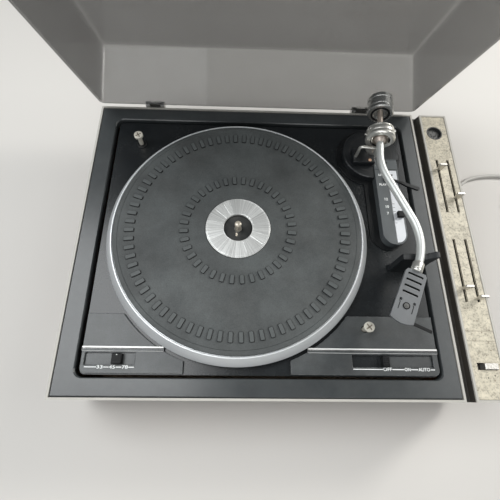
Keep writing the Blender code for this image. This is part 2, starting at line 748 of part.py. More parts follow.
def make_control_side():
    """Tray with the channel, the control plate, its edge and the headphone socket."""
    plate_top = BODY_HEIGHT - CONTROL_DROP
    plate_bottom = plate_top - CONTROL_THICKNESS
    edge_bottom = BODY_HEIGHT - CONTROL_EDGE_HEIGHT
    tray_bottom = WALL_TOP + GAP
    tray_top = min(plate_bottom, edge_bottom) - GAP
    tray_floor = tray_bottom + TRAY_FLOOR
    channel_floor = BODY_HEIGHT - CHANNEL_DEPTH
    middle = (BACK_REACH - FRONT_REACH) / 2
    section = [(SURROUND_RIGHT + GAP, tray_bottom), (CONTROL_RIGHT, tray_bottom),
               (CONTROL_RIGHT, tray_top), (CONTROL_LEFT, tray_top),
               (CONTROL_LEFT - CONTROL_SLANT, channel_floor), (SURROUND_RIGHT + GAP, channel_floor)]
    tray = flat("control_tray", "black_plastic", [section], -BODY_DEPTH / 2, BODY_DEPTH / 2)
    stand_along_y(tray, middle)
    cut(tray, block("tray pocket", None,
                    (CONTROL_LEFT + TRAY_WALL, TRAY_WALL - FRONT_REACH, tray_floor),
                    (CONTROL_RIGHT - TRAY_WALL, BACK_REACH - TRAY_WALL, tray_top + OVERRUN)))

    outer = rectangle(CONTROL_LEFT, CONTROL_RIGHT, -FRONT_REACH, BACK_REACH)
    width = CONTROL_EDGE
    inner = rectangle(CONTROL_LEFT + width, CONTROL_RIGHT - width, width - FRONT_REACH, BACK_REACH - width)
    flat("control_trim", "trim", [outer, inner], edge_bottom, BODY_HEIGHT)

    width = CONTROL_EDGE + GAP
    outlines = [rectangle(CONTROL_LEFT + width, CONTROL_RIGHT - width,
                          width - FRONT_REACH, BACK_REACH - width)]
    for column in SLOT_COLUMNS:
        x = CONTROL_LEFT + column
        for slot_middle in SLOT_MIDDLES:
            outlines.append(rectangle(x - SLOT_WIDTH / 2, x + SLOT_WIDTH / 2,
                                      slot_middle - SLOT_LENGTH / 2, slot_middle + SLOT_LENGTH / 2))
    socket = (CONTROL_LEFT + SOCKET_COLUMN, SOCKET_ROW)
    outlines.append(circle(socket, SOCKET_RADIUS))
    left = CONTROL_LEFT + MAINS_SLOT_LEFT
    outlines.append(rectangle(left, left + MAINS_SLOT_WIDTH, MAINS_SLOT_ROW - MAINS_SLOT_DEPTH / 2,
                              MAINS_SLOT_ROW + MAINS_SLOT_DEPTH / 2))
    flat("control_plate", "champagne", outlines, plate_bottom, plate_top)
    make_socket(socket, plate_top, tray_floor)
    make_knobs(plate_top, tray_floor)
    make_mains_lever(left, plate_top, tray_floor)


def make_socket(centre, top, floor):
    """Cup of the headphone socket, standing in the plate's round hole."""
    radius = SOCKET_RADIUS - GAP
    inner = radius - SOCKET_WALL
    profile = [(0, top - SOCKET_DEPTH), (inner, top - SOCKET_DEPTH), (inner, top), (radius, top),
               (radius, floor + GAP), (0, floor + GAP)]
    turned("headphone_socket", "black_plastic", (*centre, 0), profile)


def make_knobs(plate_top, floor):
    """Four flared slider knobs, each on a stem through its slot."""
    number = 1
    foot = plate_top + GAP
    top = foot + KNOB_HEIGHT
    for rows in KNOB_ROWS:
        for column, row in zip(SLOT_COLUMNS, rows):
            x = CONTROL_LEFT + column
            section = [(x - KNOB_FOOT_WIDTH / 2, foot), (x + KNOB_FOOT_WIDTH / 2, foot),
                       (x + KNOB_TOP_WIDTH / 2, top), (x - KNOB_TOP_WIDTH / 2, top)]
            knob = flat("slider_knob_%d" % number, "steel", [section],
                        -KNOB_THICKNESS / 2, KNOB_THICKNESS / 2)
            stand_along_y(knob, row)
            bevel(knob, KNOB_BEVEL, 1)
            half = KNOB_STEM_WIDTH / 2
            fuse(knob, block("knob stem", None, (x - half, row - half, floor + GAP),
                             (x + half, row + half, foot + OVERRUN)))
            number += 1


def make_mains_lever(slot_left, plate_top, floor):
    """Sliding mains lever at the right-hand end of its slot."""
    right = slot_left + MAINS_SLOT_WIDTH - GAP
    lever = block("mains_lever", "trim",
                  (right - MAINS_LEVER_WIDTH, MAINS_SLOT_ROW - MAINS_LEVER_DEPTH / 2, floor + GAP),
                  (right, MAINS_SLOT_ROW + MAINS_LEVER_DEPTH / 2, plate_top + MAINS_LEVER_PROUD))
    bevel(lever, KNOB_BEVEL, 1)


def polar(radius, angle, centre=(0, 0)):
    return (centre[0] + radius * math.cos(angle), centre[1] + radius * math.sin(angle))


def drive_places():
    """Gives the idler wheel's and the pulley's centres, in mesh with the platter's inner wall."""
    idler = polar(DRIVE_RADIUS - GAP - IDLER_RADIUS, IDLER_ANGLE)
    pulley = polar(IDLER_RADIUS + GAP + PULLEY_RADIUS, PULLEY_ANGLE, idler)
    return idler, pulley


def make_deck():
    """Deck plate with the openings for what passes through it."""
    pulley = drive_places()[1]
    half = STEM_WIDTH / 2 + GAP
    middle = (WINDOW_FRONT_ROW + WINDOW_BACK_ROW) / 2
    outlines = [
        rounded_rectangle(-DECK_LEFT, DECK_RIGHT, -DECK_FRONT, DECK_BACK, DECK_CORNER),
        circle((0, 0), BEARING_RADIUS + GAP),
        circle(pulley, MOTOR_HOLE),
        circle(LEFT_SCREW, SCREW_RADIUS + GAP),
        circle(RIGHT_SCREW, SCREW_RADIUS + GAP),
    ]
    for place, travel in ((SPEED_LEVER_AT, SPEED_TRAVEL), (START_LEVER_AT, START_TRAVEL)):
        outlines.append(rectangle(place + travel[0] - half, place + travel[1] + half,
                                  middle - half, middle + half))
    flat("deck_plate", "deck_black", outlines, DECK_BOTTOM, DECK_TOP)


def platter_arc(from_x, to_x):
    """Gives the panel edge beside the platter as an arc between two places along X."""
    start = -math.acos(from_x / PANEL_ARC)
    end = -math.acos(to_x / PANEL_ARC)
    return [polar(PANEL_ARC, start + (end - start) * step / ARC_STEPS) for step in range(ARC_STEPS + 1)]


def make_panels():
    """Two raised panels at the front corners, their chrome strips and the levers in their windows."""
    low = DECK_TOP + GAP
    top = DECK_TOP + PANEL_RISE
    front = PANEL_FRONT_INSET - DECK_FRONT
    reach = math.sqrt(PANEL_ARC ** 2 - PANEL_BACK_ROW ** 2)
    left = PANEL_SIDE_INSET - DECK_LEFT
    corner = bend((left, PANEL_BACK_ROW), (left, front), (LEFT_PANEL_END, front),
                  PANEL_CORNER, CORNER_STEPS)
    outline = [(left, PANEL_BACK_ROW)] + corner + [(LEFT_PANEL_END, front)]
    outline += platter_arc(LEFT_PANEL_END, -reach)
    window = rectangle(*LEFT_WINDOW, WINDOW_FRONT_ROW, WINDOW_BACK_ROW)
    bevel(flat("left_panel", "grey_plastic", [outline, window], low, top), PANEL_BEVEL, 1)

    right = DECK_RIGHT
    corner = bend((RIGHT_PANEL_END, front), (right, front), (right, PANEL_BACK_ROW),
                  PANEL_CORNER, CORNER_STEPS)
    outline = [(RIGHT_PANEL_END, front)] + corner + [(right, PANEL_BACK_ROW)]
    outline += platter_arc(reach, RIGHT_PANEL_END)
    window = rectangle(*RIGHT_WINDOW, WINDOW_FRONT_ROW, WINDOW_BACK_ROW)
    hole = circle(RIGHT_SCREW, SCREW_RADIUS + SCREW_SLOT)
    bevel(flat("right_panel", "grey_plastic", [outline, window, hole], low, top), PANEL_BEVEL, 1)

    spans = (("left_strip", left, LEFT_STRIP_END), ("right_strip", RIGHT_STRIP_END, right))
    for name, start, end in spans:
        strip = block(name, "chrome", (start, STRIP_ROW - STRIP_DEPTH / 2, top + GAP),
                      (end, STRIP_ROW + STRIP_DEPTH / 2, top + GAP + STRIP_HEIGHT))
        bevel(strip, STRIP_BEVEL, 1)
    make_lever("speed_lever", SPEED_LEVER_AT, SPEED_LEVER_WIDTH)
    make_lever("start_lever", START_LEVER_AT, START_LEVER_WIDTH)


def make_lever(name, x, width):
    """A sliding lever in its window, with its stem down through the deck."""
    middle = (WINDOW_FRONT_ROW + WINDOW_BACK_ROW) / 2
    foot = DECK_TOP + LEVER_FLOOR
    lever = block(name, "black_gloss", (x - width / 2, middle - LEVER_DEPTH / 2, foot),
                  (x + width / 2, middle + LEVER_DEPTH / 2, DECK_TOP + LEVER_RISE))
    bevel(lever, LEVER_BEVEL)
    half = STEM_WIDTH / 2
    fuse(lever, block(name + " stem", None, (x - half, middle - half, DECK_TOP - STEM_DROP),
                      (x + half, middle + half, foot + OVERRUN)))


def make_transit_screws():
    """Two standing transit screws, and the ring that the left one stands in."""
    for name, place in (("left_transit_screw", LEFT_SCREW), ("right_transit_screw", RIGHT_SCREW)):
        top = DECK_TOP + SCREW_RISE
        neck = top - SCREW_HEAD_HEIGHT
        edge = SCREW_SLOT / 2
        profile = [(0, top), (SCREW_HEAD_RADIUS - edge, top), (SCREW_HEAD_RADIUS, top - edge),
                   (SCREW_HEAD_RADIUS, neck), (SCREW_RADIUS, neck), (SCREW_RADIUS, DECK_TOP - SCREW_DROP),
                   (0, DECK_TOP - SCREW_DROP)]
        screw = turned(name, "chrome", (*place, 0), profile, ROUND_STEPS * 3 // 4)
        reach = SCREW_HEAD_RADIUS * 2 / 3
        for along, across in ((reach, edge), (edge, reach)):
            low = (place[0] - along, place[1] - across, top - SCREW_SLOT_DEPTH)
            high = (place[0] + along, place[1] + across, top + OVERRUN)
            cut(screw, block("screw slot", None, low, high))
    inner = SCREW_RADIUS + GAP
    low = DECK_TOP + GAP
    high = low + GROMMET_HEIGHT
    profile = [(inner, high), (GROMMET_RADIUS - GROMMET_HEIGHT / 2, high),
               (GROMMET_RADIUS, low + GROMMET_HEIGHT / 2), (GROMMET_RADIUS, low), (inner, low)]
    turned("screw_grommet", "chrome", (*LEFT_SCREW, 0), profile, ROUND_STEPS * 3 // 4, ring=True)


def make_platter():
    """Platter with its conical flank, an inner drive wall and a hub on the spindle."""
    top = PLATTER_TOP
    seat = top - MAT_SINK
    web = seat - WEB_THICKNESS
    bottom = top - FLANK_HEIGHT
    bore = SPINDLE_RADIUS + GAP
    hub_foot = DECK_TOP + GAP + BEARING_FLANGE_HEIGHT + GAP
    profile = [(bore, seat), (RIM_RADIUS - RIM_LIP, seat), (RIM_RADIUS - RIM_LIP, top), (RIM_RADIUS, top),
               (PLATTER_RADIUS, bottom + RIM_WALL), (PLATTER_RADIUS, bottom), (DRIVE_RADIUS, bottom),
               (DRIVE_RADIUS, web), (HUB_RADIUS, web), (HUB_RADIUS, hub_foot), (bore, hub_foot)]
    turned("platter", "aluminium", (0, 0, 0), profile, ROUND_STEPS * 4, ring=True)


def make_mat():
    """Rubber mat whose two rings of ribs are raised from every other sector."""
    low = PLATTER_TOP - MAT_SINK + GAP
    top = low + MAT_THICKNESS
    profile = [(LABEL_RADIUS + GAP, low), (LABEL_RADIUS + GAP, top), (INNER_RIBS[0], top),
               (INNER_RIBS[1], top), (OUTER_RIBS[0], top), (OUTER_RIBS[1], top),
               (RIM_RADIUS - RIM_LIP - GAP, top), (RIM_RADIUS - RIM_LIP - GAP, low)]
    shape = bmesh.new()
    corners = [shape.verts.new((radius, 0, height)) for radius, height in profile]
    edges = [shape.edges.new((corners[index - 1], corners[index])) for index in range(len(corners))]
    bmesh.ops.spin(shape, geom=corners + edges, axis=(0, 0, 1), cent=(0, 0, 0),
                   angle=math.tau, steps=RIB_SECTORS, use_duplicate=False)
    bmesh.ops.remove_doubles(shape, verts=shape.verts, dist=MERGE)
    for ribs, sectors in ((OUTER_RIBS, 1), (INNER_RIBS, 2)):
        raise_ribs(shape, ribs, sectors, top)
    bmesh.ops.recalc_face_normals(shape, faces=shape.faces)
    mesh = bpy.data.meshes.new("mat")
    shape.to_mesh(mesh)
    shape.free()
    add_object("mat", mesh, "mat_rubber")


def raise_ribs(shape, ribs, sectors, top):
    """Raises groups of neighbouring sectors between two radii, with gaps as wide as the groups."""
    chosen = []
    for face in shape.faces:
        middle = face.calc_center_median()
        radius = math.hypot(middle.x, middle.y)
        sector = int((math.atan2(middle.y, middle.x) % math.tau) * RIB_SECTORS / math.tau)
        if abs(middle.z - top) < MERGE and ribs[0] < radius < ribs[1] and sector // sectors % 2 == 0:
            chosen.append(face)
    result = bmesh.ops.extrude_face_region(shape, geom=chosen)
    raised = [item for item in result["geom"] if isinstance(item, bmesh.types.BMVert)]
    bmesh.ops.translate(shape, vec=(0, 0, RIB_HEIGHT), verts=raised)
    bmesh.ops.delete(shape, geom=chosen, context="FACES")


def make_label_disc():
    low = PLATTER_TOP - MAT_SINK + GAP
    top = low + MAT_THICKNESS
    profile = [(LABEL_HOLE, top), (LABEL_RADIUS - LABEL_BEVEL, top), (LABEL_RADIUS, top - LABEL_BEVEL),
               (LABEL_RADIUS, low), (LABEL_HOLE, low)]
    turned("label_disc", "aluminium", (0, 0, 0), profile, ROUND_STEPS * 2, ring=True)


def make_spindle():
    """Spindle with the bearing that hangs under the deck."""
    tip = PLATTER_TOP + SPINDLE_RISE
    flange_low = DECK_TOP + GAP
    flange = flange_low + BEARING_FLANGE_HEIGHT
    profile = [(0, tip), (SPINDLE_RADIUS / 2, tip - SPINDLE_TIP / 3), (SPINDLE_RADIUS, tip - SPINDLE_TIP),
               (SPINDLE_RADIUS, flange), (BEARING_FLANGE, flange), (BEARING_FLANGE, flange_low),
               (BEARING_RADIUS, flange_low), (BEARING_RADIUS, DECK_BOTTOM - BEARING_DEPTH),
               (0, DECK_BOTTOM - BEARING_DEPTH)]
    turned("spindle", "steel", (0, 0, 0), profile)


def make_drive():
    """Motor with its stepped pulley, and the idler wheel on its arm."""
    idler, pulley = drive_places()
    wheel_low = DECK_TOP + IDLER_LIFT
    wheel_top = wheel_low + IDLER_THICKNESS
    bore = AXLE_RADIUS + GAP
    dish = IDLER_THICKNESS / 4
    profile = [(bore, wheel_top), (IDLER_HUB, wheel_top), (IDLER_HUB, wheel_top - dish),
               (IDLER_RADIUS - IDLER_TYRE, wheel_top - dish), (IDLER_RADIUS - IDLER_TYRE, wheel_top),
               (IDLER_RADIUS, wheel_top), (IDLER_RADIUS, wheel_low), (IDLER_RADIUS - IDLER_TYRE, wheel_low),
               (IDLER_RADIUS - IDLER_TYRE, wheel_low + dish), (IDLER_HUB, wheel_low + dish),
               (IDLER_HUB, wheel_low), (bore, wheel_low)]
    turned("idler_wheel", "rubber", (*idler, 0), profile, ring=True)

    low = DECK_TOP + GAP
    across = IDLER_ARM_WIDTH / 2
    ends = [idler, polar(IDLER_ARM_LENGTH, IDLER_ARM_ANGLE, idler)]
    side = [polar(across, IDLER_ARM_ANGLE - math.pi / 2), polar(across, IDLER_ARM_ANGLE + math.pi / 2)]
    outline = [(end[0] + step[0], end[1] + step[1]) for end, step in
               ((ends[0], side[1]), (ends[0], side[0]), (ends[1], side[0]), (ends[1], side[1]))]
    arm = flat("idler_arm", "steel", [outline], low, low + IDLER_ARM_THICKNESS)
    profile = [(0, wheel_top + GAP), (AXLE_RADIUS, wheel_top + GAP), (AXLE_RADIUS, wheel_low - GAP),
               (IDLER_HUB, wheel_low - GAP), (IDLER_HUB, low + IDLER_ARM_THICKNESS / 2),
               (0, low + IDLER_ARM_THICKNESS / 2)]
    fuse(arm, turned("idler axle", None, (*idler, 0), profile, ROUND_STEPS // 2))

    top = wheel_top + IDLER_THICKNESS / 4
    step_top = top
    profile = [(0, top)]
    heights = (PULLEY_TOP_STEP, PULLEY_STEP, PULLEY_STEP)
    for share, height in zip(SPEED_SHARES, heights):
        profile += [(PULLEY_RADIUS * share, step_top), (PULLEY_RADIUS * share, step_top - height)]
        step_top -= height
    motor_top = DECK_BOTTOM - GAP
    profile += [(SHAFT_RADIUS, step_top), (SHAFT_RADIUS, motor_top + GAP), (0, motor_top + GAP)]
    turned("motor_pulley", "steel", (*pulley, 0), profile)
    low = motor_top - MOTOR_HEIGHT
    profile = [(0, motor_top), (MOTOR_RADIUS * 2 / 3, motor_top),
               (MOTOR_RADIUS, motor_top - MOTOR_CAP_HEIGHT),
               (MOTOR_RADIUS, low + MOTOR_CAP_HEIGHT), (MOTOR_RADIUS * 2 / 3, low), (0, low)]
    turned("motor", "steel", (*pulley, 0), profile)


def racetrack(left, right, front, back, rear_radius):
    """Outline with a fully round front end."""
    radius = (right - left) / 2
    return rounded(rectangle(left, right, front, back),
                   [radius - MERGE, radius - MERGE, rear_radius, rear_radius],
                   CORNER_STEPS * 2)


def make_arm_base():
    """Base plate, turret, side module and the bracket of the lift."""
    low = DECK_TOP + GAP
    high = low + BASE_PLATE_THICKNESS
    outline = racetrack(MODULE_LEFT - MARGIN_LEFT, MODULE_RIGHT + MARGIN_RIGHT,
                        MODULE_FRONT - MARGIN_FRONT, PIVOT[1], MARGIN_FRONT)
    plate = flat("arm_base_plate", "black_gloss", [outline], low, high)
    fuse(plate, rod("base plate disc", None, (*PIVOT, low), (*PIVOT, high),
                    BASE_PLATE_RADIUS, ROUND_STEPS * 3 // 2))

    low = high + GAP
    turret_top = DECK_TOP + TURRET_HEIGHT
    module_top = DECK_TOP + MODULE_HEIGHT
    radius = (MODULE_RIGHT - MODULE_LEFT) / 2
    profile = [(0, turret_top), (TURRET_RADIUS - TURRET_BEVEL, turret_top),
               (TURRET_RADIUS, turret_top - TURRET_BEVEL), (TURRET_RADIUS, low), (0, low)]
    turret = turned("arm_turret", "black_plastic", (*PIVOT, 0), profile, ROUND_STEPS * 3 // 2)
    tail = rounded(rectangle(MODULE_LEFT, MODULE_RIGHT, PIVOT[1], MODULE_BACK),
                   [0, 0, radius - MERGE, radius - MERGE], CORNER_STEPS * 2)
    fuse(turret, flat("turret tail", None, [tail], low, turret_top))
    cut(turret, block("module seat", None, (MODULE_LEFT - GAP, MODULE_FRONT, low - OVERRUN),
                      (MODULE_RIGHT + TURRET_RADIUS, MODULE_SEAM + GAP, turret_top + OVERRUN)))

    outline = racetrack(MODULE_LEFT, MODULE_RIGHT, MODULE_FRONT, MODULE_SEAM, 0)
    module = flat("side_module", "grey_plastic", [outline], low, module_top)
    bevel(module, MODULE_BEVEL, 1)
    seat = module_top - MODULE_PLATE_SINK
    cut(module, block("plate seat", None, (MODULE_SPLIT, MODULE_FRONT - OVERRUN, seat),
                      (MODULE_RIGHT + OVERRUN, MODULE_PLATE_BACK, module_top + OVERRUN)))
    edge = MODULE_RIGHT - MODULE_PLATE_EDGE
    nose = MODULE_FRONT + MODULE_PLATE_EDGE
    corner = bend((MODULE_SPLIT + GAP, nose), (edge, nose), (edge, MODULE_PLATE_BACK),
                  edge - MODULE_SPLIT - GAP - MERGE, CORNER_STEPS * 2)
    outline = corner + [(edge, MODULE_PLATE_BACK - GAP), (MODULE_SPLIT + GAP, MODULE_PLATE_BACK - GAP)]
    flat("module_plate", "trim", [outline], seat + GAP, module_top)

    low = turret_top + GAP
    bracket = block("lift_bracket", "black_plastic", (BRACKET_LEFT, BRACKET_FRONT, low),
                    (MODULE_LEFT - GAP, BRACKET_BACK, low + BRACKET_HEIGHT))
    bevel(bracket, BRACKET_BEVEL)
    cut(bracket, rod("column space", None,
                     (*PIVOT, low - OVERRUN), (*PIVOT, low + BRACKET_HEIGHT + OVERRUN),
                     COLUMN_RADIUS + 2 * GAP))
    cut(bracket, rod("rod hole", None, (*ROD_LEG, low + BRACKET_HEIGHT - ROD_SINK - GAP),
                     (*ROD_LEG, low + BRACKET_HEIGHT + OVERRUN), ROD_RADIUS + GAP))

    half = BIAS_SIZE / 2
    knob = block("bias_slider", "black_gloss", (BIAS_AT[0] - half, BIAS_AT[1] - half, module_top + GAP),
                 (BIAS_AT[0] + half, BIAS_AT[1] + half, module_top + GAP + BIAS_HEIGHT))
    bevel(knob, CUE_BEVEL * 2)
    make_cue_lever(module_top + GAP)


def make_cue_lever(low):
    """Lift lever that swings flat over the side module; its origin is on its pivot."""
    tip = CUE_LENGTH
    root, end = CUE_ROOT_WIDTH / 2, CUE_TIP_WIDTH / 2
    outline = [(0, -root), (tip - end, -end), (tip, -end / 2), (tip, end / 2), (tip - end, end), (0, root)]
    lever = flat("cue_lever", "black_gloss", [outline], -CUE_THICKNESS / 2, CUE_THICKNESS / 2)
    bevel(lever, CUE_BEVEL, 1)
    lever.rotation_euler.z = CUE_HEADING
    lever.location = (*CUE_PIVOT, low + CUE_THICKNESS / 2)
    fuse(lever, rod("cue boss", None, (*CUE_PIVOT, low), (*CUE_PIVOT, low + CUE_THICKNESS),
                    CUE_BOSS_RADIUS))


def arm_points():
    """Gives the arm's corner points about the pivot: its start, two bends and the headshell joint."""
    points = [Vector((0, 0, 0))]
    for angle, run in zip(ARM_HEADINGS, ARM_RUNS):
        points.append(points[-1] + heading(angle) * run)
    return points


def ride(obj, axis):
    """Parents a piece of the arm to the empty on the pivot."""
    obj.parent = axis
    return obj


def make_tonearm():
    """Gimbal, tube, counterweight and headshell on one parent at the pivot."""
    axis = bpy.data.objects.new("arm_axis", None)
    parts.objects.link(axis)
    axis.location = (*PIVOT, ARM_HEIGHT)
    forward = heading(ARM_HEADINGS[0])
    across = forward.cross(Vector((0, 0, 1))).normalized()
    make_gimbal(axis, forward, across)

    length = BLOCK_HALF_LENGTH
    stub = WEIGHT_AT + WEIGHT_LENGTH + WEIGHT_TRAVEL
    profile = [(0, CONE_REACH), (CONE_TIP_RADIUS, CONE_REACH), (BLOCK_RADIUS, length),
               (BLOCK_RADIUS, -length), (STUB_RADIUS, -length - STUB_RADIUS), (STUB_RADIUS, -stub),
               (0, -stub)]
    pivot_block = ride(turned("arm_pivot_block", "aluminium", (0, 0, 0), profile), axis)
    aim(pivot_block, forward)

    corners = arm_points()
    path = [corners[0] + forward * (CONE_REACH + GAP)]
    for index, radius in ((1, ARM_BENDS[0]), (2, ARM_BENDS[1])):
        path += bend(corners[index - 1], corners[index], corners[index + 1], radius, BEND_STEPS)
    joint = corners[3]
    last = heading(ARM_HEADINGS[2])
    path.append(joint - last * GAP)
    ride(wire("arm_tube", "chrome", path, ARM_RADIUS), axis)

    bore = ARM_RADIUS + GAP
    bevel_size = COLLAR_BEVEL
    profile = [(bore, -GAP), (COLLAR_RADIUS - bevel_size, -GAP), (COLLAR_RADIUS, -GAP - bevel_size),
               (COLLAR_RADIUS, bevel_size - COLLAR_LENGTH), (COLLAR_RADIUS - bevel_size, -COLLAR_LENGTH),
               (bore, -COLLAR_LENGTH)]
    collar = ride(turned("arm_collar", "trim", joint, profile, ring=True), axis)
    aim(collar, last)

    make_headshell(axis, joint)
    make_counterweight(axis, forward)


def make_gimbal(axis, forward, across):
    """Bearing housing: a short drum along the arm on a column, with the pitch pins in its sides."""
    half = GIMBAL_LENGTH / 2
    step = GIMBAL_RIM_STEP
    profile = [(GIMBAL_BORE, half), (GIMBAL_RADIUS, half), (GIMBAL_RADIUS, half - GIMBAL_RIM),
               (GIMBAL_RADIUS - step, half - GIMBAL_RIM), (GIMBAL_RADIUS - step, -half),
               (GIMBAL_BORE, -half)]
    drum = ride(turned("arm_gimbal", "black_plastic", (0, 0, 0), profile, ring=True), axis)
    aim(drum, forward)
    column_foot = DECK_TOP + TURRET_HEIGHT + GAP - ARM_HEIGHT
    column = rod("gimbal column", None, (0, 0, column_foot), (0, 0, -GIMBAL_BORE - step), COLUMN_RADIUS)
    fuse(drum, ride(column, axis))
    for number, side in enumerate((across, -across)):
        pin = rod("pitch pin %d" % number, None, side * (BLOCK_RADIUS + GAP),
                  side * (GIMBAL_RADIUS + PIN_HEAD_PROUD), PIN_RADIUS, ROUND_STEPS // 2)
        fuse(drum, ride(pin, axis))
        width = GIMBAL_RADIUS
        relief = block("swing relief %d" % number, None, (-width / 2, -half, -GIMBAL_RADIUS - OVERRUN),
                       (width / 2, half, -RELIEF_DROP))
        relief.location = (side * (RELIEF_HALF_WIDTH + width / 2) + forward * half
                           + Vector((0, 0, relief.location.z)))
        relief.rotation_euler.z = math.atan2(across.y, across.x)
        cut(drum, ride(relief, axis))


def make_counterweight(axis, forward):
    low, high = -WEIGHT_AT - WEIGHT_LENGTH, -WEIGHT_AT
    edge = WEIGHT_BEVEL
    bore = STUB_RADIUS + GAP
    profile = [(bore, high - WEIGHT_RECESS_DEPTH), (WEIGHT_RECESS, high - WEIGHT_RECESS_DEPTH),
               (WEIGHT_RECESS, high), (WEIGHT_RADIUS - edge, high), (WEIGHT_RADIUS, high - edge),
               (WEIGHT_RADIUS, low + edge), (WEIGHT_RADIUS - edge, low), (bore, low)]
    weight = ride(turned("counterweight", "black_plastic", (0, 0, 0), profile, ring=True), axis)
    aim(weight, forward)


def make_headshell(axis, joint):
    """Slotted headshell with its finger lift, and the cartridge with its stylus below it."""
    back, shoulder, front = SHELL_BACK_WIDTH / 2, SHELL_SHOULDER_WIDTH / 2, SHELL_FRONT_WIDTH / 2
    nose_radius = (front ** 2 + SHELL_BULGE ** 2) / (2 * SHELL_BULGE)
    centre = SHELL_LENGTH + SHELL_BULGE - nose_radius
    spread = math.asin(front / nose_radius)
    shares = (-1, -2 / 3, -1 / 3, 0, 1 / 3, 2 / 3, 1)
    nose = [polar(nose_radius, spread * share, (centre, 0)) for share in shares]
    outline = [(0, back), (0, -back), (SHELL_SHOULDER, -shoulder)] + nose + [(SHELL_SHOULDER, shoulder)]
    outlines = [outline]
    for place in SHELL_SLOTS:
        outlines.append(rectangle(place - SHELL_SLOT_WIDTH / 2, place + SHELL_SLOT_WIDTH / 2,
                                  -SHELL_SLOT_LENGTH / 2, SHELL_SLOT_LENGTH / 2))
    for side in (-1, 1):
        outlines.append(circle((SHELL_HOLE_AT, side * SHELL_HOLE_SPACING / 2), SHELL_HOLE_RADIUS,
                               ROUND_STEPS // 2))
    turn = -math.pi / 2 - ARM_HEADINGS[2]
    shell = ride(flat("headshell", "black_plastic", outlines, 0, SHELL_THICKNESS), axis)
    shell.rotation_euler.z = turn
    shell.location += joint
    half = FINGER_WIDTH / 2
    finger = block("finger lift", None, (FINGER_AT - half, front - OVERRUN, SHELL_THICKNESS / 3),
                   (FINGER_AT + half, front + FINGER_LENGTH, SHELL_THICKNESS * 2 / 3))
    place_on_shell(finger, axis, joint, turn)
    fuse(shell, finger)

    under = -GAP
    body = block("cartridge", "black_gloss",
                 (CARTRIDGE_BACK, -CARTRIDGE_WIDTH / 2, under - CARTRIDGE_HEIGHT),
                 (CARTRIDGE_BACK + CARTRIDGE_LENGTH, CARTRIDGE_WIDTH / 2, under))
    bevel(body, CARTRIDGE_BEVEL, 1)
    place_on_shell(body, axis, joint, turn)
    mat_top = PLATTER_TOP - MAT_SINK + GAP + MAT_THICKNESS
    tip = mat_top + RIB_HEIGHT + RECORD_THICKNESS - ARM_HEIGHT
    profile = [(0, under - CARTRIDGE_HEIGHT + OVERRUN), (STYLUS_RADIUS, under - CARTRIDGE_HEIGHT + OVERRUN),
               (STYLUS_RADIUS, under - CARTRIDGE_HEIGHT), (STYLUS_TIP_RADIUS, tip), (0, tip)]
    stylus = turned("stylus", None, (STYLUS_AT, 0, 0), profile, ROUND_STEPS // 4)
    place_on_shell(stylus, axis, joint, turn)
    fuse(body, stylus)


def place_on_shell(obj, axis, joint, turn):
    """Moves a piece laid out along +X from the headshell's back edge to its place on the arm."""
    ride(obj, axis)
    reach = Vector((math.cos(turn), math.sin(turn), 0))
    side = Vector((-math.sin(turn), math.cos(turn), 0))
    place = obj.location.copy()
    obj.location = joint + reach * place.x + side * place.y + Vector((0, 0, place.z))
    obj.rotation_euler.z = turn


def make_arm_rest():
    """Standing rest with a level ledge under the tube and a horn at its outer side."""
    low = DECK_TOP + GAP
    ledge = ARM_HEIGHT - ARM_RADIUS - GAP
    horn = REST_RIGHT + REST_HORN_REACH
    inner = horn - REST_HORN_WIDTH
    section = [(REST_LEFT - REST_FOOT_FLARE, low), (REST_RIGHT + REST_FOOT_FLARE, low),
               (REST_RIGHT, low + REST_FOOT_HEIGHT), (REST_RIGHT, ledge - REST_HORN_RISE),
               (horn, ledge + REST_HORN_RISE), (inner, ledge + REST_HORN_RISE),
               (inner - REST_HORN_RISE, ledge), (REST_LEFT, ledge),
               (REST_LEFT, low + REST_FOOT_HEIGHT)]
    half = (REST_BACK - REST_FRONT) / 2
    rest = flat("arm_rest", "black_plastic", [section], -half, half)
    stand_along_y(rest, (REST_FRONT + REST_BACK) / 2)
    bevel(rest, REST_BEVEL, 1)


def make_lift_rod():
    """Angled rod: a leg in the bracket and a bar under the arm tube."""
    height = ARM_HEIGHT - ARM_RADIUS - ROD_REST_GAP - ROD_RADIUS
    foot = DECK_TOP + TURRET_HEIGHT + GAP + BRACKET_HEIGHT - ROD_SINK
    corner = (*ROD_LEG, height)
    end = (*ROD_END, height)
    path = [(*ROD_LEG, foot)] + bend((*ROD_LEG, foot), corner, end, ROD_BEND, CORNER_STEPS) + [end]
    wire("lift_rod", "chrome", path, ROD_RADIUS)


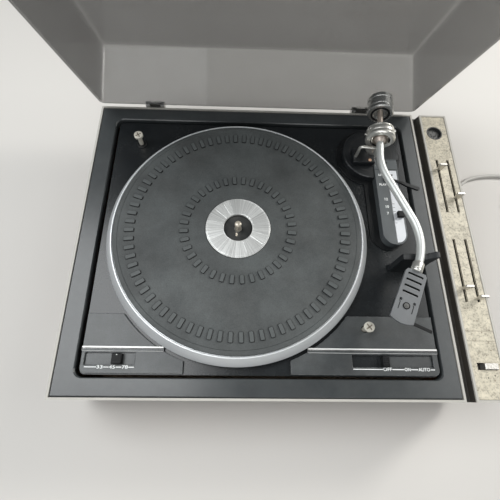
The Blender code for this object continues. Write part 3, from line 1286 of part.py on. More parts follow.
def make_lid():
    """Open dust cover on two hinges; its origin is on the hinge pins."""
    pin = Vector((0, BACK_REACH + HINGE_SETBACK, BODY_HEIGHT + HINGE_RISE))
    low = Vector((-LEFT_REACH, -FRONT_REACH, BODY_HEIGHT + LID_SEAT)) - pin
    high = Vector((SURROUND_RIGHT, BACK_REACH, BODY_HEIGHT + LID_SEAT + LID_HEIGHT)) - pin
    skirt = 2 * LID_ROUNDING
    lid = block("dust_cover", "acrylic", (low.x, low.y, low.z - skirt), high)
    inner_low = (low.x + LID_WALL, low.y + LID_WALL, low.z - 2 * skirt)
    inner_high = (high.x - LID_WALL, high.y - LID_WALL, high.z - LID_WALL)
    inside = block("cover inside", None, inner_low, inner_high)
    for shell, radius in ((lid, LID_ROUNDING), (inside, LID_ROUNDING - LID_WALL)):
        shell.data.transform(Matrix.Translation(shell.location))
        shell.location = (0, 0, 0)
        bevel(shell, radius, LID_ROUNDING_STEPS)
    lid.location = pin
    lid.rotation_euler.x = -LID_OPEN
    trim = block("cover skirt", None, (low.x - OVERRUN, low.y - OVERRUN, low.z - 3 * skirt),
                 (high.x + OVERRUN, high.y + OVERRUN, low.z))
    for tool in (inside, trim):
        tool.parent = lid
        cut(lid, tool)

    middle = (SURROUND_RIGHT - LEFT_REACH) / 2
    spread = SURROUND_WIDTH / 2 - HINGE_INSET
    slot = HINGE_WIDTH / 2 - HINGE_CHEEK
    for name, x in (("left_hinge", middle - spread), ("right_hinge", middle + spread)):
        steps = ROUND_STEPS // 2
        root = -HINGE_SETBACK - LUG_BITE
        nose = [polar(HINGE_RADIUS, math.pi * (step / steps - 1 / 2)) for step in range(steps + 1)]
        outline = [(root, LUG_HALF_HEIGHT), (root, -LUG_HALF_HEIGHT)] + nose
        hole = circle((0, 0), HINGE_PIN_RADIUS + GAP, steps)
        lug = flat(name + " lug", None, [outline, hole], GAP - slot, slot - GAP)
        stand_along_x(lug, x)
        lug.parent = lid
        fuse(lid, lug)
        make_hinge(name, x, pin, slot)


def make_hinge(name, x, pin, slot):
    """Fixed half of a lid hinge: two round-topped cheeks on one foot, with the pin between them."""
    front = BACK_REACH + GAP
    back = pin.y + HINGE_RADIUS
    steps = ROUND_STEPS // 2
    arc = [(pin.y + HINGE_RADIUS * math.cos(math.pi * step / steps),
            pin.z + HINGE_RADIUS * math.sin(math.pi * step / steps)) for step in range(steps + 1)]
    outline = [(front, pin.z - HINGE_DROP), (back, pin.z - HINGE_DROP)] + arc + [(front, pin.z)]
    hinge = flat(name, "steel", [outline], -HINGE_WIDTH / 2, HINGE_WIDTH / 2)
    stand_along_x(hinge, x)
    cut(hinge, block(name + " slot", None, (x - slot, front - OVERRUN, pin.z - HINGE_RADIUS - 2 * GAP),
                     (x + slot, back + OVERRUN, pin.z + HINGE_RADIUS + OVERRUN)))
    bar = HINGE_WIDTH / 2 - HINGE_CHEEK / 2
    fuse(hinge, rod(name + " pin", None, (x - bar, pin.y, pin.z), (x + bar, pin.y, pin.z), HINGE_PIN_RADIUS,
                    ROUND_STEPS // 2))


def make_electrics():
    """Amplifier board beside the partition, and the transformer on the base."""
    low = BASE_TOP + GAP
    x = SURROUND_RIGHT + GAP + PARTITION_WIDTH + GAP
    block("amplifier_board", "board", (x, BOARD_FRONT, low),
          (x + BOARD_THICKNESS, BOARD_FRONT + BOARD_LENGTH, low + BOARD_HEIGHT))
    half = [size / 2 for size in CORE_SIZE]
    core = block("transformer", "steel", (CORE_AT[0] - half[0], CORE_AT[1] - half[1], low),
                 (CORE_AT[0] + half[0], CORE_AT[1] + half[1], low + CORE_SIZE[2]))
    middle = low + half[2]
    half = [size / 2 for size in BOBBIN_SIZE]
    fuse(core, block("bobbin", None, (CORE_AT[0] - half[0], CORE_AT[1] - half[1], middle - half[2]),
                     (CORE_AT[0] + half[0], CORE_AT[1] + half[1], middle + half[2])))


def smooth_route(points, spacing):
    """Reads evenly spaced points from a smooth curve through the route's points."""
    places = [Vector(point) for point in points]
    ends = [2 * places[0] - places[1]] + places + [2 * places[-1] - places[-2]]
    fine = []
    for index in range(1, len(ends) - 2):
        before, start, end, after = ends[index - 1:index + 3]
        for step in range(ROUND_STEPS):
            t = step / ROUND_STEPS
            fine.append(0.5 * (2 * start + (end - before) * t
                               + (2 * before - 5 * start + 4 * end - after) * t ** 2
                               + (3 * start - before - 3 * end + after) * t ** 3))
    fine.append(places[-1])
    total = sum((b - a).length for a, b in zip(fine, fine[1:]))
    count = round(total / spacing)
    route, walked, wanted = [fine[0]], 0, total / count
    for a, b in zip(fine, fine[1:]):
        walked += (b - a).length
        if walked >= wanted * len(route) and len(route) < count:
            route.append(b)
    route.append(fine[-1])
    return route, total


def coil_path():
    """Gives the coil's points: in on the floor layer, then out again on the layer above."""
    pitch = 2 * CORD_RADIUS + COIL_SPACE
    low = CORD_FLOOR + CORD_RADIUS
    outer = COIL_MIDDLE_RADIUS + pitch * COIL_TURNS / 4
    start = Vector(CORD_ROUTE[-1])
    centre = Vector((COIL_AT, start.y - outer, 0))
    half = COIL_TURNS / 2
    points = []
    for step in range(COIL_TURNS * COIL_POINTS + 1):
        turn = step / COIL_POINTS
        radius = outer - pitch * (half - abs(half - turn))
        climb = min(max((turn - half) / (2 * COIL_RAMP_SHARE) + 0.5, 0), 1)
        climb = climb * climb * (3 - 2 * climb)
        angle = math.pi / 2 - math.tau * turn
        points.append(centre + Vector((radius * math.cos(angle), radius * math.sin(angle),
                                       low + pitch * climb)))
    lead = Vector((2 * CORD_RADIUS, 0, 0))
    return [points[0] - lead] + points + [points[-1] + Vector((COIL_EXIT, 0, 0))]


def least_gap(points):
    """Measures the least open space between stretches of the coil that aren't neighbours."""
    skip = COIL_POINTS // 3
    least = min((b - a).length for index, a in enumerate(points) for b in points[index + skip:])
    return least - 2 * CORD_RADIUS


def make_cord():
    """Gland, free stretch, coil and plug of the mains lead."""
    x, height = GLAND_AT
    wall = BACK_REACH + GAP
    flange = GLAND_FLANGE_THICKNESS
    profile = [(0, GLAND_LENGTH), (GLAND_TIP_RADIUS, GLAND_LENGTH), (GLAND_RADIUS, flange),
               (GLAND_FLANGE_RADIUS, flange), (GLAND_FLANGE_RADIUS, 0), (0, 0)]
    gland = turned("cord_gland", "rubber", (x, wall, height), profile)
    aim(gland, (0, 1, 0))

    coil = coil_path()
    start = Vector((x, wall + GLAND_LENGTH + GAP, height))
    finish = coil[0] - Vector((GAP, 0, 0))
    route, length = smooth_route([start, *CORD_ROUTE[1:-1], finish], CORD_POINT_SPACING)
    for point in route:
        point.z = max(point.z, CORD_FLOOR + CORD_RADIUS)
    wire("mains_cord", "cord", route, CORD_RADIUS)
    wire("mains_cord_coil", "cord", coil, CORD_RADIUS, 1)
    wound = sum((b - a).length for a, b in zip(coil, coil[1:]))
    print("cord length", round(length + wound, 4), "least gap in the coil", round(least_gap(coil), 5))

    end = coil[-1] + Vector((GAP, 0, 0))
    face = end.x + PLUG_NECK_LENGTH
    half = end.z - CORD_FLOOR
    body = block("mains_plug", "black_plastic", (face, end.y - PLUG_WIDTH / 2, CORD_FLOOR),
                 (face + PLUG_LENGTH, end.y + PLUG_WIDTH / 2, end.z + half))
    bevel(body, PLUG_BEVEL)
    fuse(body, rod("plug neck", None, end, (face + OVERRUN, end.y, end.z), PLUG_NECK_RADIUS))
    back = face + PLUG_LENGTH
    for side in (-1, 1):
        y = end.y + side * PLUG_PIN_SPACING / 2
        fuse(body, rod("plug pin", None, (back - OVERRUN, y, end.z), (back + PLUG_PIN_LENGTH, y, end.z),
                       PLUG_PIN_RADIUS, ROUND_STEPS // 2))


def lid_reach():
    """Gives how far back the open cover reaches, with its rounded rear edge."""
    deep = -HINGE_SETBACK - LID_ROUNDING
    tall = LID_SEAT + LID_HEIGHT - HINGE_RISE - LID_ROUNDING
    pin = BACK_REACH + HINGE_SETBACK
    return pin + deep * math.cos(LID_OPEN) + tall * math.sin(LID_OPEN) + LID_ROUNDING


def centre_model():
    """Moves everything so that the origin lies under the middle of the model without its cord."""
    shift_x = -(CONTROL_RIGHT - LEFT_REACH) / 2
    shift_y = -(lid_reach() - FRONT_REACH) / 2
    for obj in bpy.data.objects:
        if obj.parent is None:
            obj.location.x += shift_x
            obj.location.y += shift_y
    bpy.context.view_layer.update()


def main():
    make_cabinet()
    make_base()
    make_surround()
    make_control_side()
    make_deck()
    make_panels()
    make_transit_screws()
    make_platter()
    make_mat()
    make_label_disc()
    make_spindle()
    make_drive()
    make_arm_base()
    make_tonearm()
    make_arm_rest()
    make_lift_rod()
    make_lid()
    make_electrics()
    make_cord()
    for obj in parts.objects:
        if obj.type == "MESH" and obj.data.polygons:
            smooth(obj.data)
    centre_model()


clear_scene()
parts = new_collection("record_player")
cutters = new_collection("cutting_shapes")
main()
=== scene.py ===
"""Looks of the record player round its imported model: lead, fine parts, finishes, stage and camera.

Metres, +Z up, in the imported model's own frame. A place on the deck is given from the platter's axis.
"""

import math

import bmesh
import bpy
import numpy as np
from mathutils import Matrix, Vector


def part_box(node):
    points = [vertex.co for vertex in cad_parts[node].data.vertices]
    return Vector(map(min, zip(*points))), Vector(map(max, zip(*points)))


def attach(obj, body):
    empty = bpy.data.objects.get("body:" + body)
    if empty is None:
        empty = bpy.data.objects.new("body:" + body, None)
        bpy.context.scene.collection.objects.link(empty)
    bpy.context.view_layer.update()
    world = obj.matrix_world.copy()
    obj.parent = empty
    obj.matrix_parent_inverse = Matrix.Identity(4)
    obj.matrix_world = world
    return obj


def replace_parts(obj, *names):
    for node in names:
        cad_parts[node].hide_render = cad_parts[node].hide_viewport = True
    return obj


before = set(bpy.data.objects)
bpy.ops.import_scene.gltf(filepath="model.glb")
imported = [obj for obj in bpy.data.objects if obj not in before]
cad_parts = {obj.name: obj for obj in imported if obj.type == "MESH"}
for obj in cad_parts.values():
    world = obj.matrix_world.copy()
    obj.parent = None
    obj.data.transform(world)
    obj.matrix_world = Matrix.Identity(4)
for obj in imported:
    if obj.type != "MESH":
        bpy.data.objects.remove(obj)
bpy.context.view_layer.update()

bl_info = {
    "name": "Record player looks",
    "version": (1, 0, 0),
    "blender": (4, 5, 0),
    "location": "3D View > Sidebar > Record player",
    "description": "Builds the finishes and fine parts of a record player round its packed model",
    "category": "Object",
}

AXIS = (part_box("spindle")[0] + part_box("spindle")[1]) / 2

# General
WELD = 0.000001             # points closer than this are one point
CREASE = math.radians(32)   # faces that meet at more than this keep a sharp edge
SINK = 0.00005              # how far a fitted piece reaches into what carries it
ROUND_STEPS = 48
FINE_STEPS = 24
LETTER_STEPS = 3

# Camera, from the photograph's perspective
CAMERA_PLACE = (-0.0447, -0.20398, 0.4816)
CAMERA_PITCH = math.radians(68.83)
CAMERA_YAW = math.radians(4.41)
CAMERA_ROLL = math.radians(5.15)
CAMERA_NEAR = 0.01

# Lamps: name, place, the point each one faces, its level width and its height, and its colour.
# Their powers are in the stage's settings.
LAMPS = (
    ("window", (-0.70, 0.10, 1.30), (0.0, 0.10, 0.1), (0.84, 1.10), (0.97, 0.99, 1.0)),
    ("side", (1.05, 0.42, 1.20), (0.0, 0.42, 0.1), (1.60, 0.60), (1.0, 1.0, 0.98)),
    ("key", (1.45, 0.70, 1.00), (0.0, 0.0, 0.1), (0.35, 0.35), (1.0, 0.98, 0.94)),
    ("front", (-0.10, -1.40, 1.00), (0.0, 0.0, 0.1), (1.50, 0.70), (1.0, 1.0, 1.0)),
)
ROOM_COLOUR = (0.80, 0.86, 0.90, 1.0)
FLOOR_REACH = 4.0

DUST_COLOUR = (0.42, 0.40, 0.37)

# Mains lead, from the platter's axis. The free route is listed point by point.
LEAD_RADIUS = 0.0028
LEAD_BEVEL_STEPS = 4
LEAD_FLOOR = 0.0002         # gap under the lead
LEAD_START = (0.262, 0.2116, 0.040)
LEAD_ROUTE = (
    (0.2620, 0.2250, 0.0385),
    (0.2640, 0.2420, 0.0270),
    (0.2720, 0.2560, 0.0110),
    (0.2860, 0.2588, 0.0032),
    (0.2990, 0.2500, 0.0030),
    (0.3070, 0.2320, 0.0030),
    (0.3090, 0.2050, 0.0030),
    (0.3050, 0.1750, 0.0030),
    (0.3040, 0.1500, 0.0030),
    (0.3110, 0.1280, 0.0030),
    (0.3290, 0.1240, 0.0030),
    (0.3495, 0.1366, 0.0030),
    (0.3572, 0.1423, 0.0030),
    (0.3660, 0.1458, 0.0030),
    (0.3798, 0.1493, 0.0030),
    (0.3998, 0.1515, 0.0030),
    (0.4200, 0.1513, 0.0030),
    (0.4400, 0.1513, 0.0030),
    (0.4581, 0.1513, 0.0030),
)
ROUTE_STEPS = 12
COIL_TURNS = 8
COIL_MIDDLE_RADIUS = 0.0336
COIL_SPACE = 0.0006
COIL_STEPS = 48
COIL_RAMP_SHARE = 0.25
COIL_PITCH = 2 * LEAD_RADIUS + COIL_SPACE
COIL_HALF = COIL_PITCH * COIL_TURNS / 4     # half the width of one layer
COIL_AT = 0.464
COIL_ROW = 0.1513
COIL_EXIT = 0.026
TIE_WIDTH = 0.006
TIE_THICKNESS = 0.0005
TIE_SQUARENESS = 0.35       # power of the tie's loop: 1 is an ellipse, and 0 a rectangle
RELIEF_FLANGE = (0.009, 0.003)      # radius and thickness
RELIEF_RADII = (0.0062, 0.0038)
RELIEF_RIBS = 9
RELIEF_STEPS = 12           # points along each rib
RELIEF_SWELL = 1.6          # a rib's wave is stretched and lowered, so that it is flat at its top and foot
RELIEF_LEVEL = 0.3
RELIEF_DEPTH = 0.0007
RELIEF_NECK = 0.0005

# Platter and mat
PLATTER_RIM = 0.140         # radius of its top edge
PLATTER_LIP = 0.0018
PLATTER_SEAT = 0.0016       # depth of the mat's seat under the lip
PLATTER_FLANK = 0.0125
PLATTER_SKIRT = 0.015
PLATTER_WALL = 0.0022
PLATTER_WEB = 0.0028
PLATTER_HUB = 0.0095
PLATTER_ROUNDING = 0.0004
PLATTER_STEPS = 360
HUB_CLEARANCE = 0.0022      # over the deck
SPINDLE_GAP = 0.0003
OUTER_BARS = (0.1195, 0.0108, 0.0046)   # middle radius, length and width of a bar
INNER_BARS = (0.0600, 0.0098, 0.0046)
BAR_CORNER = 0.0009
BAR_CHAMFER = 0.0003
BAR_CAP = 0.0005            # height of a bar's top, painted paler than the mat as a highlight
BAR_INSET = 0.00015         # how far that top is set in from the wall, which is painted dark as shade
BAR_SHADOW_FOOT = 0.0003           # how far a bar's dark foot, a painted shadow round its base, stands out from it
BAR_SHADOW_FOOT_HEIGHT = 0.0002
CORNER_STEPS = 3            # points on a bar's round corner
MAT_EDGE = 0.0006
MAT_EDGE_STEPS = 5
MAT_GROOVE_AT = 0.1322
MAT_GROOVE_WIDTH = 0.0003
MAT_CLEARANCE = 0.0006      # between the mat and the platter's lip
MAT_STEPS = 288
SPINDLE_RADIUS = 0.0035
SPINDLE_CAP = 0.0001        # how far the bright cap stands proud of the spindle
SPINDLE_CAP_LENGTH = 0.0100
SPINDLE_CAP_WAIST = 0.0008

# Label disc
SECTOR_LINE_WIDTH = 0.00035
SECTOR_SHARES = (0.03, 0.10, 0.16, 0.235, 0.30, 0.335, 0.39, 0.46,
                 0.52, 0.575, 0.66, 0.70, 0.735, 0.80, 0.90, 0.955)
# Painted sheen: how light or dark each sector's colour is made, for the fan of light on spun metal.
SECTOR_SHEEN = (0.74, 0.90, 0.80, 0.70, 0.92, 0.84, 0.72, 0.80,
                0.93, 0.77, 0.86, 0.70, 0.88, 0.76, 0.92, 0.82)
DISC_HOLE = 0.01595
DISC_RIMS = (0.0009, 0.0014)    # how far the two round lines lie from the hole and from the edge
DISC_RIM_WIDTH = 0.0004
DISC_SCORE = 0.00012        # depth of the scored lines
DISC_EDGE = 0.0005
DISC_BAND = 0.0022
DISC_BAND_STEPS = 14
DISC_STEPS = 768
CENTRE_THICKNESS = 0.0004
CENTRE_GAP = 0.0003
CENTRE_BORE = 0.0041
CENTRE_RIM = 0.0010
KEY_AT = (-0.0016, -0.0074)
KEY_SIZE = (0.0018, 0.0042)

# Control plate and socket
PRINT_WIDTH = 0.0005
ENGRAVED_ROWS = (-0.1074, -0.1178)
PLATE_DOTS = ((0.259, -0.1547), (0.2665, -0.1525))
PLATE_DOT_RADIUS = 0.0007
KNOB_STARTS = (0.0228, -0.0182, -0.0226, -0.0336)     # each knob's place from the middle of its slot
SLOT_HALF = 0.0011          # half a slot's width, its reach each way and the width of the painted shade along each side of it
SLOT_REACH = 0.03755
SLOT_SHADE = 0.0004
SOCKET_WALL = 0.0012
SOCKET_FLOOR_DEPTH = 0.0055
SOCKET_DISC_HEIGHT = 0.0022
SOCKET_STEP_SHARE = 0.72    # of the radius: where the face steps down
SOCKET_STEP_DEPTH = 0.0009
SOCKET_STEP_SLOPE = 0.0004
SOCKET_HOLE_DEPTH = 0.0016
SOCKET_HOLE_SLOPE = 0.0002
SOCKET_KEY_SHARE = 0.55
SOCKET_KEY_HALVES = (0.0008, 0.0007)
SOCKET_KEY_DEPTH = 0.0012
SOCKET_RING_RADIUS = 0.0033
SOCKET_HOLE_RADIUS = 0.00075
SOCKET_HOLE_SHARES = (-0.25, -0.125, 0.0, 0.125, 0.25)
SOCKET_CLEARANCE = 0.0002
SOCKET_STEPS = 120
KNOB_CAP = 0.0005
KNOB_CAP_INSET = 0.0004
MAINS_RIB_SHARES = (0.2, 0.4, 0.6, 0.8)
MAINS_RIB_WIDTH = 0.0007
MAINS_RIB_LENGTH_SHARE = 0.7
MAINS_RIB_HEIGHT = 0.0003
MAINS_RIB_CORNER = 0.0002

# Windows, their print and the strips
LEFT_WINDOW = (-0.1520, -0.1015)
RIGHT_WINDOW = (0.1201, 0.2041)
WINDOW_ROWS = (-0.1454, -0.1334)
WINDOW_FLOOR = 0.0005
WINDOW_EDGE = 0.0003
BACK_SLIT = 0.0010          # between a window's floor and its back wall, where the lever's stem goes down
STEM_HALF = 0.0016
STEM_DEPTH = 0.0005
STEM_GAP = 0.0002
SCALE_ROW = -0.1474
SCALE_WIDTH = 0.0008
SCALE_LETTER = 0.0046
SCALE_LETTER_WIDTH = 0.0030
SCALE_BOLD = 0.00005
SPEED_SCALE = ((-0.1355, "33"), (-0.1231, "45"), (-0.1105, "78"))
SPEED_ENDS = (-0.1508, -0.1015)
START_SCALE = ((0.1554, "OFF"), (0.1761, "ON"), (0.1935, "AUTO"))
START_ENDS = (0.1200, 0.2045)
WORD_MARGIN = 0.0005
START_PLATE_LEFT = 0.1587
LEVER_CHAMFER = 0.0007
LEVER_CORNER = 0.0008
LEVER_RIBS = 4
LEVER_RIB_HEIGHT = 0.0004
LEVER_RIB_WIDTH = 0.0007
LEVER_DOT = 0.0008
LEVER_DOT_IN = 0.0016
STRIP_LINE_SHARES = (0.52, 0.68)
STRIP_BAND_SHARES = (0.08, 0.50)

# Arm base
SEAM_WIDTH = 0.0005
SEAM_ROWS = (0.0866, 0.1010)
MODULE_HOLE = (0.1814, 0.0964)
MODULE_HOLE_RADIUS = 0.0015
MODULE_WORDS = ((0.1736, 0.0787, "LIFT"), (0.1742, 0.0650, "PLAY"))
WORD_LETTER = 0.0040
MODULE_NUMBERS = ((0.0450, "12"), (0.0350, "10"), (0.0262, "7"))
MODULE_NUMBER_COLUMN = 0.1752
MODULE_LETTER = 0.0046
MODULE_BOLD = 0.00012
PLATE_HOLE = (0.1868, 0.0788)
PLATE_HOLE_RADIUS = 0.0011
BIAS_SCALE_ROWS = (0.0140, 0.0190, 0.0290, 0.0340, 0.0390)
BIAS_TICK_WIDTH = 0.0030
COPPER_SCREW_AT = (0.1592, 0.0950)
SCREW_HEAD_HEIGHT = 0.0009
COPPER_SCREW_RADIUS = 0.0019
BRACKET_GROOVE_ROW = 0.1020
BRACKET_GROOVE_IN = 0.001   # where it starts, from the bracket's edge
BRACKET_GROOVE_END = 0.1555
TURRET_RING = (0.0262, 0.0266)      # inner and outer radius of the line round the turret

# Transit screws
TRANSIT_HEAD_RISE = 0.0012
TRANSIT_HEAD_HEIGHT = 0.0024
TRANSIT_SLOT = 0.0013
TRANSIT_CUT_SHARE = 0.7
TRANSIT_TURN = math.radians(35)
TRANSIT_ROUNDING = 0.0006
# Dark cross of painted shade that fills each head's slots: its reach and its height
TRANSIT_CROSS_SHARE = 0.70  # of the head's radius
TRANSIT_RISE_SHARE = 0.90   # of the dome's rise
TRANSIT_STEM = 0.0027
TRANSIT_FOOT = 0.0034       # over the deck, clear of the panel round the right one

# Tonearm
PIVOT = (0.1645, 0.111)
ARM_HEIGHT = 0.141
ARM_TURNS = tuple(math.radians(degrees) for degrees in (7.5, -21.8, 24.9))
ARM_RUNS = (0.0401, 0.0996, 0.0384)
ARM_BENDS = (0.060, 0.067)
ARM_RADIUS = 0.00425
BEND_STEPS = 40
TUBE_START = 0.0106
CONE_PROFILE = ((0.0, 0.0103), (0.0043, 0.0103), (0.0049, 0.0096), (0.0062, 0.0070), (0.0078, 0.0052),
                (0.0080, 0.0046), (0.0080, -0.0050), (0.0030, -0.0080), (0.0030, -0.0585),
                (0.0, -0.0585))
COLLAR_PROFILE = ((0.0, 0.0), (0.0048, 0.0), (0.0056, -0.0005), (0.0059, -0.0010), (0.0059, -0.0030),
                  (0.0054, -0.0034), (0.0054, -0.0038), (0.0059, -0.0042), (0.0059, -0.0100),
                  (0.0055, -0.0108), (0.0047, -0.0118), (0.0, -0.0118))
HOUSING_PROFILE = ((0.01125, 0.0075), (0.0140, 0.0075), (0.0150, 0.0071), (0.0163, 0.0060),
                   (0.0168, 0.0054), (0.0168, 0.0024), (0.0165, 0.0019), (0.0158, 0.0017),
                   (0.0158, 0.0012), (0.0162, 0.0009), (0.0164, 0.0004), (0.0164, -0.0040),
                   (0.0161, -0.0045), (0.0150, -0.0050), (0.0150, -0.0056), (0.0156, -0.0060),
                   (0.0156, -0.0072), (0.0153, -0.0075), (0.01125, -0.0075))
HOUSING_ARC = (math.radians(-10.5), math.radians(296.4))
HOUSING_RELIEF = (math.radians(296.4), math.radians(349.5))     # set back here, clear of the lift rod
HOUSING_SET_BACK = 0.0045
HOUSING_STEPS = 72
BORE_RING = (0.0102, 0.0113, 0.0062)    # inner and outer radius and place of the dark ring round the bore
BORE_RING_DEPTH = 0.0020
COLUMN_RADIUS = 0.0085
COLUMN_FOOT = 0.1083
COLUMN_TOP = 0.1290
PIVOT_PIN_RADIUS = 0.0014
PIVOT_PIN_SPAN = (0.0083, 0.0180)
WEIGHT_PROFILE = ((0.0033, -0.0355), (0.0085, -0.0355), (0.0085, -0.0330), (0.0090, -0.0325),
                  (0.0138, -0.0325), (0.0150, -0.0337), (0.0150, -0.0372), (0.0143, -0.0376),
                  (0.0143, -0.0384), (0.0150, -0.0388), (0.0150, -0.0470), (0.0143, -0.0474),
                  (0.0143, -0.0482), (0.0150, -0.0486), (0.0150, -0.0533), (0.0138, -0.0545),
                  (0.0033, -0.0545))
WEIGHT_EDGE = WEIGHT_PROFILE[5]         # radius and place where the ticks start
WEIGHT_RING = (0.0088, 0.0112, -0.0326)     # inner and outer radius and place of the dark ring
WEIGHT_RING_DEPTH = 0.0005
ROD_RADIUS = 0.0019
ROD_REST_GAP = 0.00045
ROD_LEG = (0.1425, 0.1005)
ROD_END = (0.1680, 0.0975)
ROD_FOOT = 0.110
ROD_BEND = 0.004
ROD_BAND_SHARES = (0.30, 0.52, 0.74)
ROD_BAND_WIDTH = 0.0006
ROD_BAND_PROUD = 0.0003
SIDE_SCREW_ANGLES = (math.radians(62), math.radians(100), math.radians(-62))
SIDE_SCREW_RADIUS = 0.0017
SIDE_SCREW_LENGTH = 0.0011
SIDE_SCREW_PLACE = -0.0034
SHELL_SCREW_AT = 0.0386
SHELL_SCREW_RADIUS = 0.0034
SHELL_SCREW_RECESS = 0.0016
SHELL_SCREW_RISE = 0.0007
SHELL_SCREW_SLOT_SHARE = 1.6    # of a printed line's width
SHELL_SCREW_CUT_SHARE = 0.8
SHELL_MARKS = ((0.0366, 0.0068), (0.0366, -0.0068))
SHELL_MARK_LENGTH = 0.0078
SHELL_MARK_HOOK = 0.0022
SHELL_MARK_WIDTH = 0.0007
# Slots in the headshell: dark plates of painted shade, each with a grey strip of painted highlight along one
# side, as wide as the last value.
SHELL_SLOTS = (0.00485, 0.0116, 0.0183, 0.0250)
SHELL_SLOT_SIZE = (0.0024, 0.0158)
SHELL_SLOT_HIGHLIGHT = 0.0005
FINGER_AT = 0.052           # from the arm's joint with the headshell
FINGER_SPAN = (0.0118, 0.0298)
FINGER_WIDTH = 0.0029
FINGER_HEIGHTS = (0.0022, 0.0008)    # below the headshell's top
WEIGHT_TICKS = 40
WEIGHT_TICK_LENGTH = 0.0026
WEIGHT_TICK_WIDTH = 0.0004

# Lift lever
CUE_HUB = (0.1810, 0.0730)
PADDLE_SHARES = (0.42, 0.56, 0.90, 0.97)    # places along the lever's reach
PADDLE_HALVES = (0.0009, 0.0021, 0.0021, 0.0012)    # half the width at each place
PADDLE_INSET = 0.0002

# Foot rings and board screws
FOOT_RING_WIDTH = 0.002
FOOT_RING_RISE = 0.0030
FOOT_RING_PROUD = 0.0008
BASE_SCREW_RADIUS = 0.0035
BASE_SCREW_HEIGHT = 0.0012
BASE_SCREW_INSET = 0.016

# Screw heads, in shares of the head's radius and height
SCREW_EDGE_SHARE = 0.98
SCREW_SLOT_SHARE = 0.72
SCREW_FALL_SHARE = 0.25

# Finishes: depths of relief, and widths of the rubbed edges
GRAIN_RELIEF = 0.000002
PLATE_RELIEF = 0.00006
LABEL_RELIEF = 0.000015
WOOD_RELIEF = 0.00005
TRACK_RELIEF = 0.0001
RUB_WIDTH = 0.0006
PLATE_RUB_WIDTH = 0.0005
WOOD_RUB_WIDTH = 0.0008
SPUN_PITCH = 0.0008         # length that one radian stands for in turned metal
ALONG_X = (0.02, 1.0, 1.0)  # stretches of the grain
ALONG_Y = (1.0, 0.02, 1.0)


def at(x, y, z):
    """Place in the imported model's frame of a point given from the platter's axis."""
    return np.array([AXIS.x + x, AXIS.y + y, z])


def top(node):
    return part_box(node)[1].z


def middle(node):
    """Centre of a node's box."""
    low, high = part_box(node)
    return np.array((low + high) / 2)


# Shapes: arrays of points, with lists of faces

def grid_faces(rows, columns, wrap_rows=False, wrap_columns=False):
    """Quads of a grid: corner (i, j) joins (i, j + 1), (i + 1, j + 1) and (i + 1, j), and may wrap round."""
    i, j = np.meshgrid(np.arange(rows if wrap_rows else rows - 1),
                       np.arange(columns if wrap_columns else columns - 1), indexing="ij")
    after_i, after_j = (i + 1) % rows, (j + 1) % columns
    quads = np.stack([i * columns + j, i * columns + after_j,
                      after_i * columns + after_j, after_i * columns + j], axis=-1)
    return quads.reshape(-1, 4).tolist()


def slab(outline, low, high):
    """Straight-sided plate: every corner (x, y) of the outline stands once at each of two heights."""
    outline = np.asarray(outline, float)
    count = len(outline)
    points = np.vstack([np.column_stack([outline, np.full(count, height)]) for height in (low, high)])
    ring = np.arange(count)
    after = np.roll(ring, -1)
    walls = np.column_stack([ring, after, after + count, ring + count]).tolist()
    return points, walls + [ring[::-1].tolist(), (ring + count).tolist()]


def lathe(profile, steps=ROUND_STEPS, loop=False):
    """Turned shape: a profile point (r, h) goes to (r cos a, r sin a, h) for angles a all round."""
    radius, height = np.asarray(profile, float).T
    angle = np.linspace(0, math.tau, steps, endpoint=False)[:, None]
    points = np.stack([radius * np.cos(angle), radius * np.sin(angle), height + 0 * angle], axis=-1)
    return points.reshape(-1, 3), grid_faces(steps, len(radius), True, loop)


def carried(section, path, normal):
    """Closed band: a section (s, n) goes round a flat closed path, s across it and n along its normal."""
    section, path, normal = (np.asarray(value, float) for value in (section, path, normal))
    ahead = np.roll(path, -1, axis=0) - np.roll(path, 1, axis=0)
    ahead /= np.linalg.norm(ahead, axis=1)[:, None]
    side = np.cross(ahead, normal)
    points = path[:, None] + section[None, :, :1] * side[:, None] + section[None, :, 1:] * normal
    return points.reshape(-1, 3), grid_faces(len(path), len(section), True, True)


def tube(path, radius, normal, steps=FINE_STEPS):
    """Closed round bar along a flat path: circles r cos a across it and r sin a along its normal."""
    path, normal = np.asarray(path, float), np.asarray(normal, float)
    ahead = np.gradient(path, axis=0)
    ahead /= np.linalg.norm(ahead, axis=1)[:, None]
    path, ahead = np.vstack([path[:1], path, path[-1:]]), np.vstack([ahead[:1], ahead, ahead[-1:]])
    reach = np.full(len(path), radius)
    reach[[0, -1]] = 0
    angle = np.linspace(0, math.tau, steps, endpoint=False)[None, :, None]
    round_it = np.cos(angle) * np.cross(ahead, normal)[:, None] + np.sin(angle) * normal
    points = path[:, None] + reach[:, None, None] * round_it
    return points.reshape(-1, 3), grid_faces(len(path), steps, False, True)


def fillet(corner, before, after, radius, steps=BEND_STEPS):
    """Arc that touches both runs at a corner: r sin t along the first, r (1 - cos t) towards the second."""
    turn = math.acos(float(before @ after))
    inward = (after - before * math.cos(turn)) / math.sin(turn)
    start = corner - before * radius * math.tan(turn / 2)
    swept = np.linspace(0, turn, steps)[:, None]
    return start + radius * (np.sin(swept) * before + (1 - np.cos(swept)) * inward)


def disc(radius, low, high, steps=FINE_STEPS):
    """Solid round disc or rod between two heights."""
    return lathe([(0, low), (radius, low), (radius, high), (0, high)], steps)


def band(inner, outer, low, high):
    """Profile of a flat ring."""
    return [(inner, low), (inner, high), (outer, high), (outer, low)]


def oblong(left, right, front, back):
    """Outline of a rectangle between two columns and two rows."""
    return [(left, front), (right, front), (right, back), (left, back)]


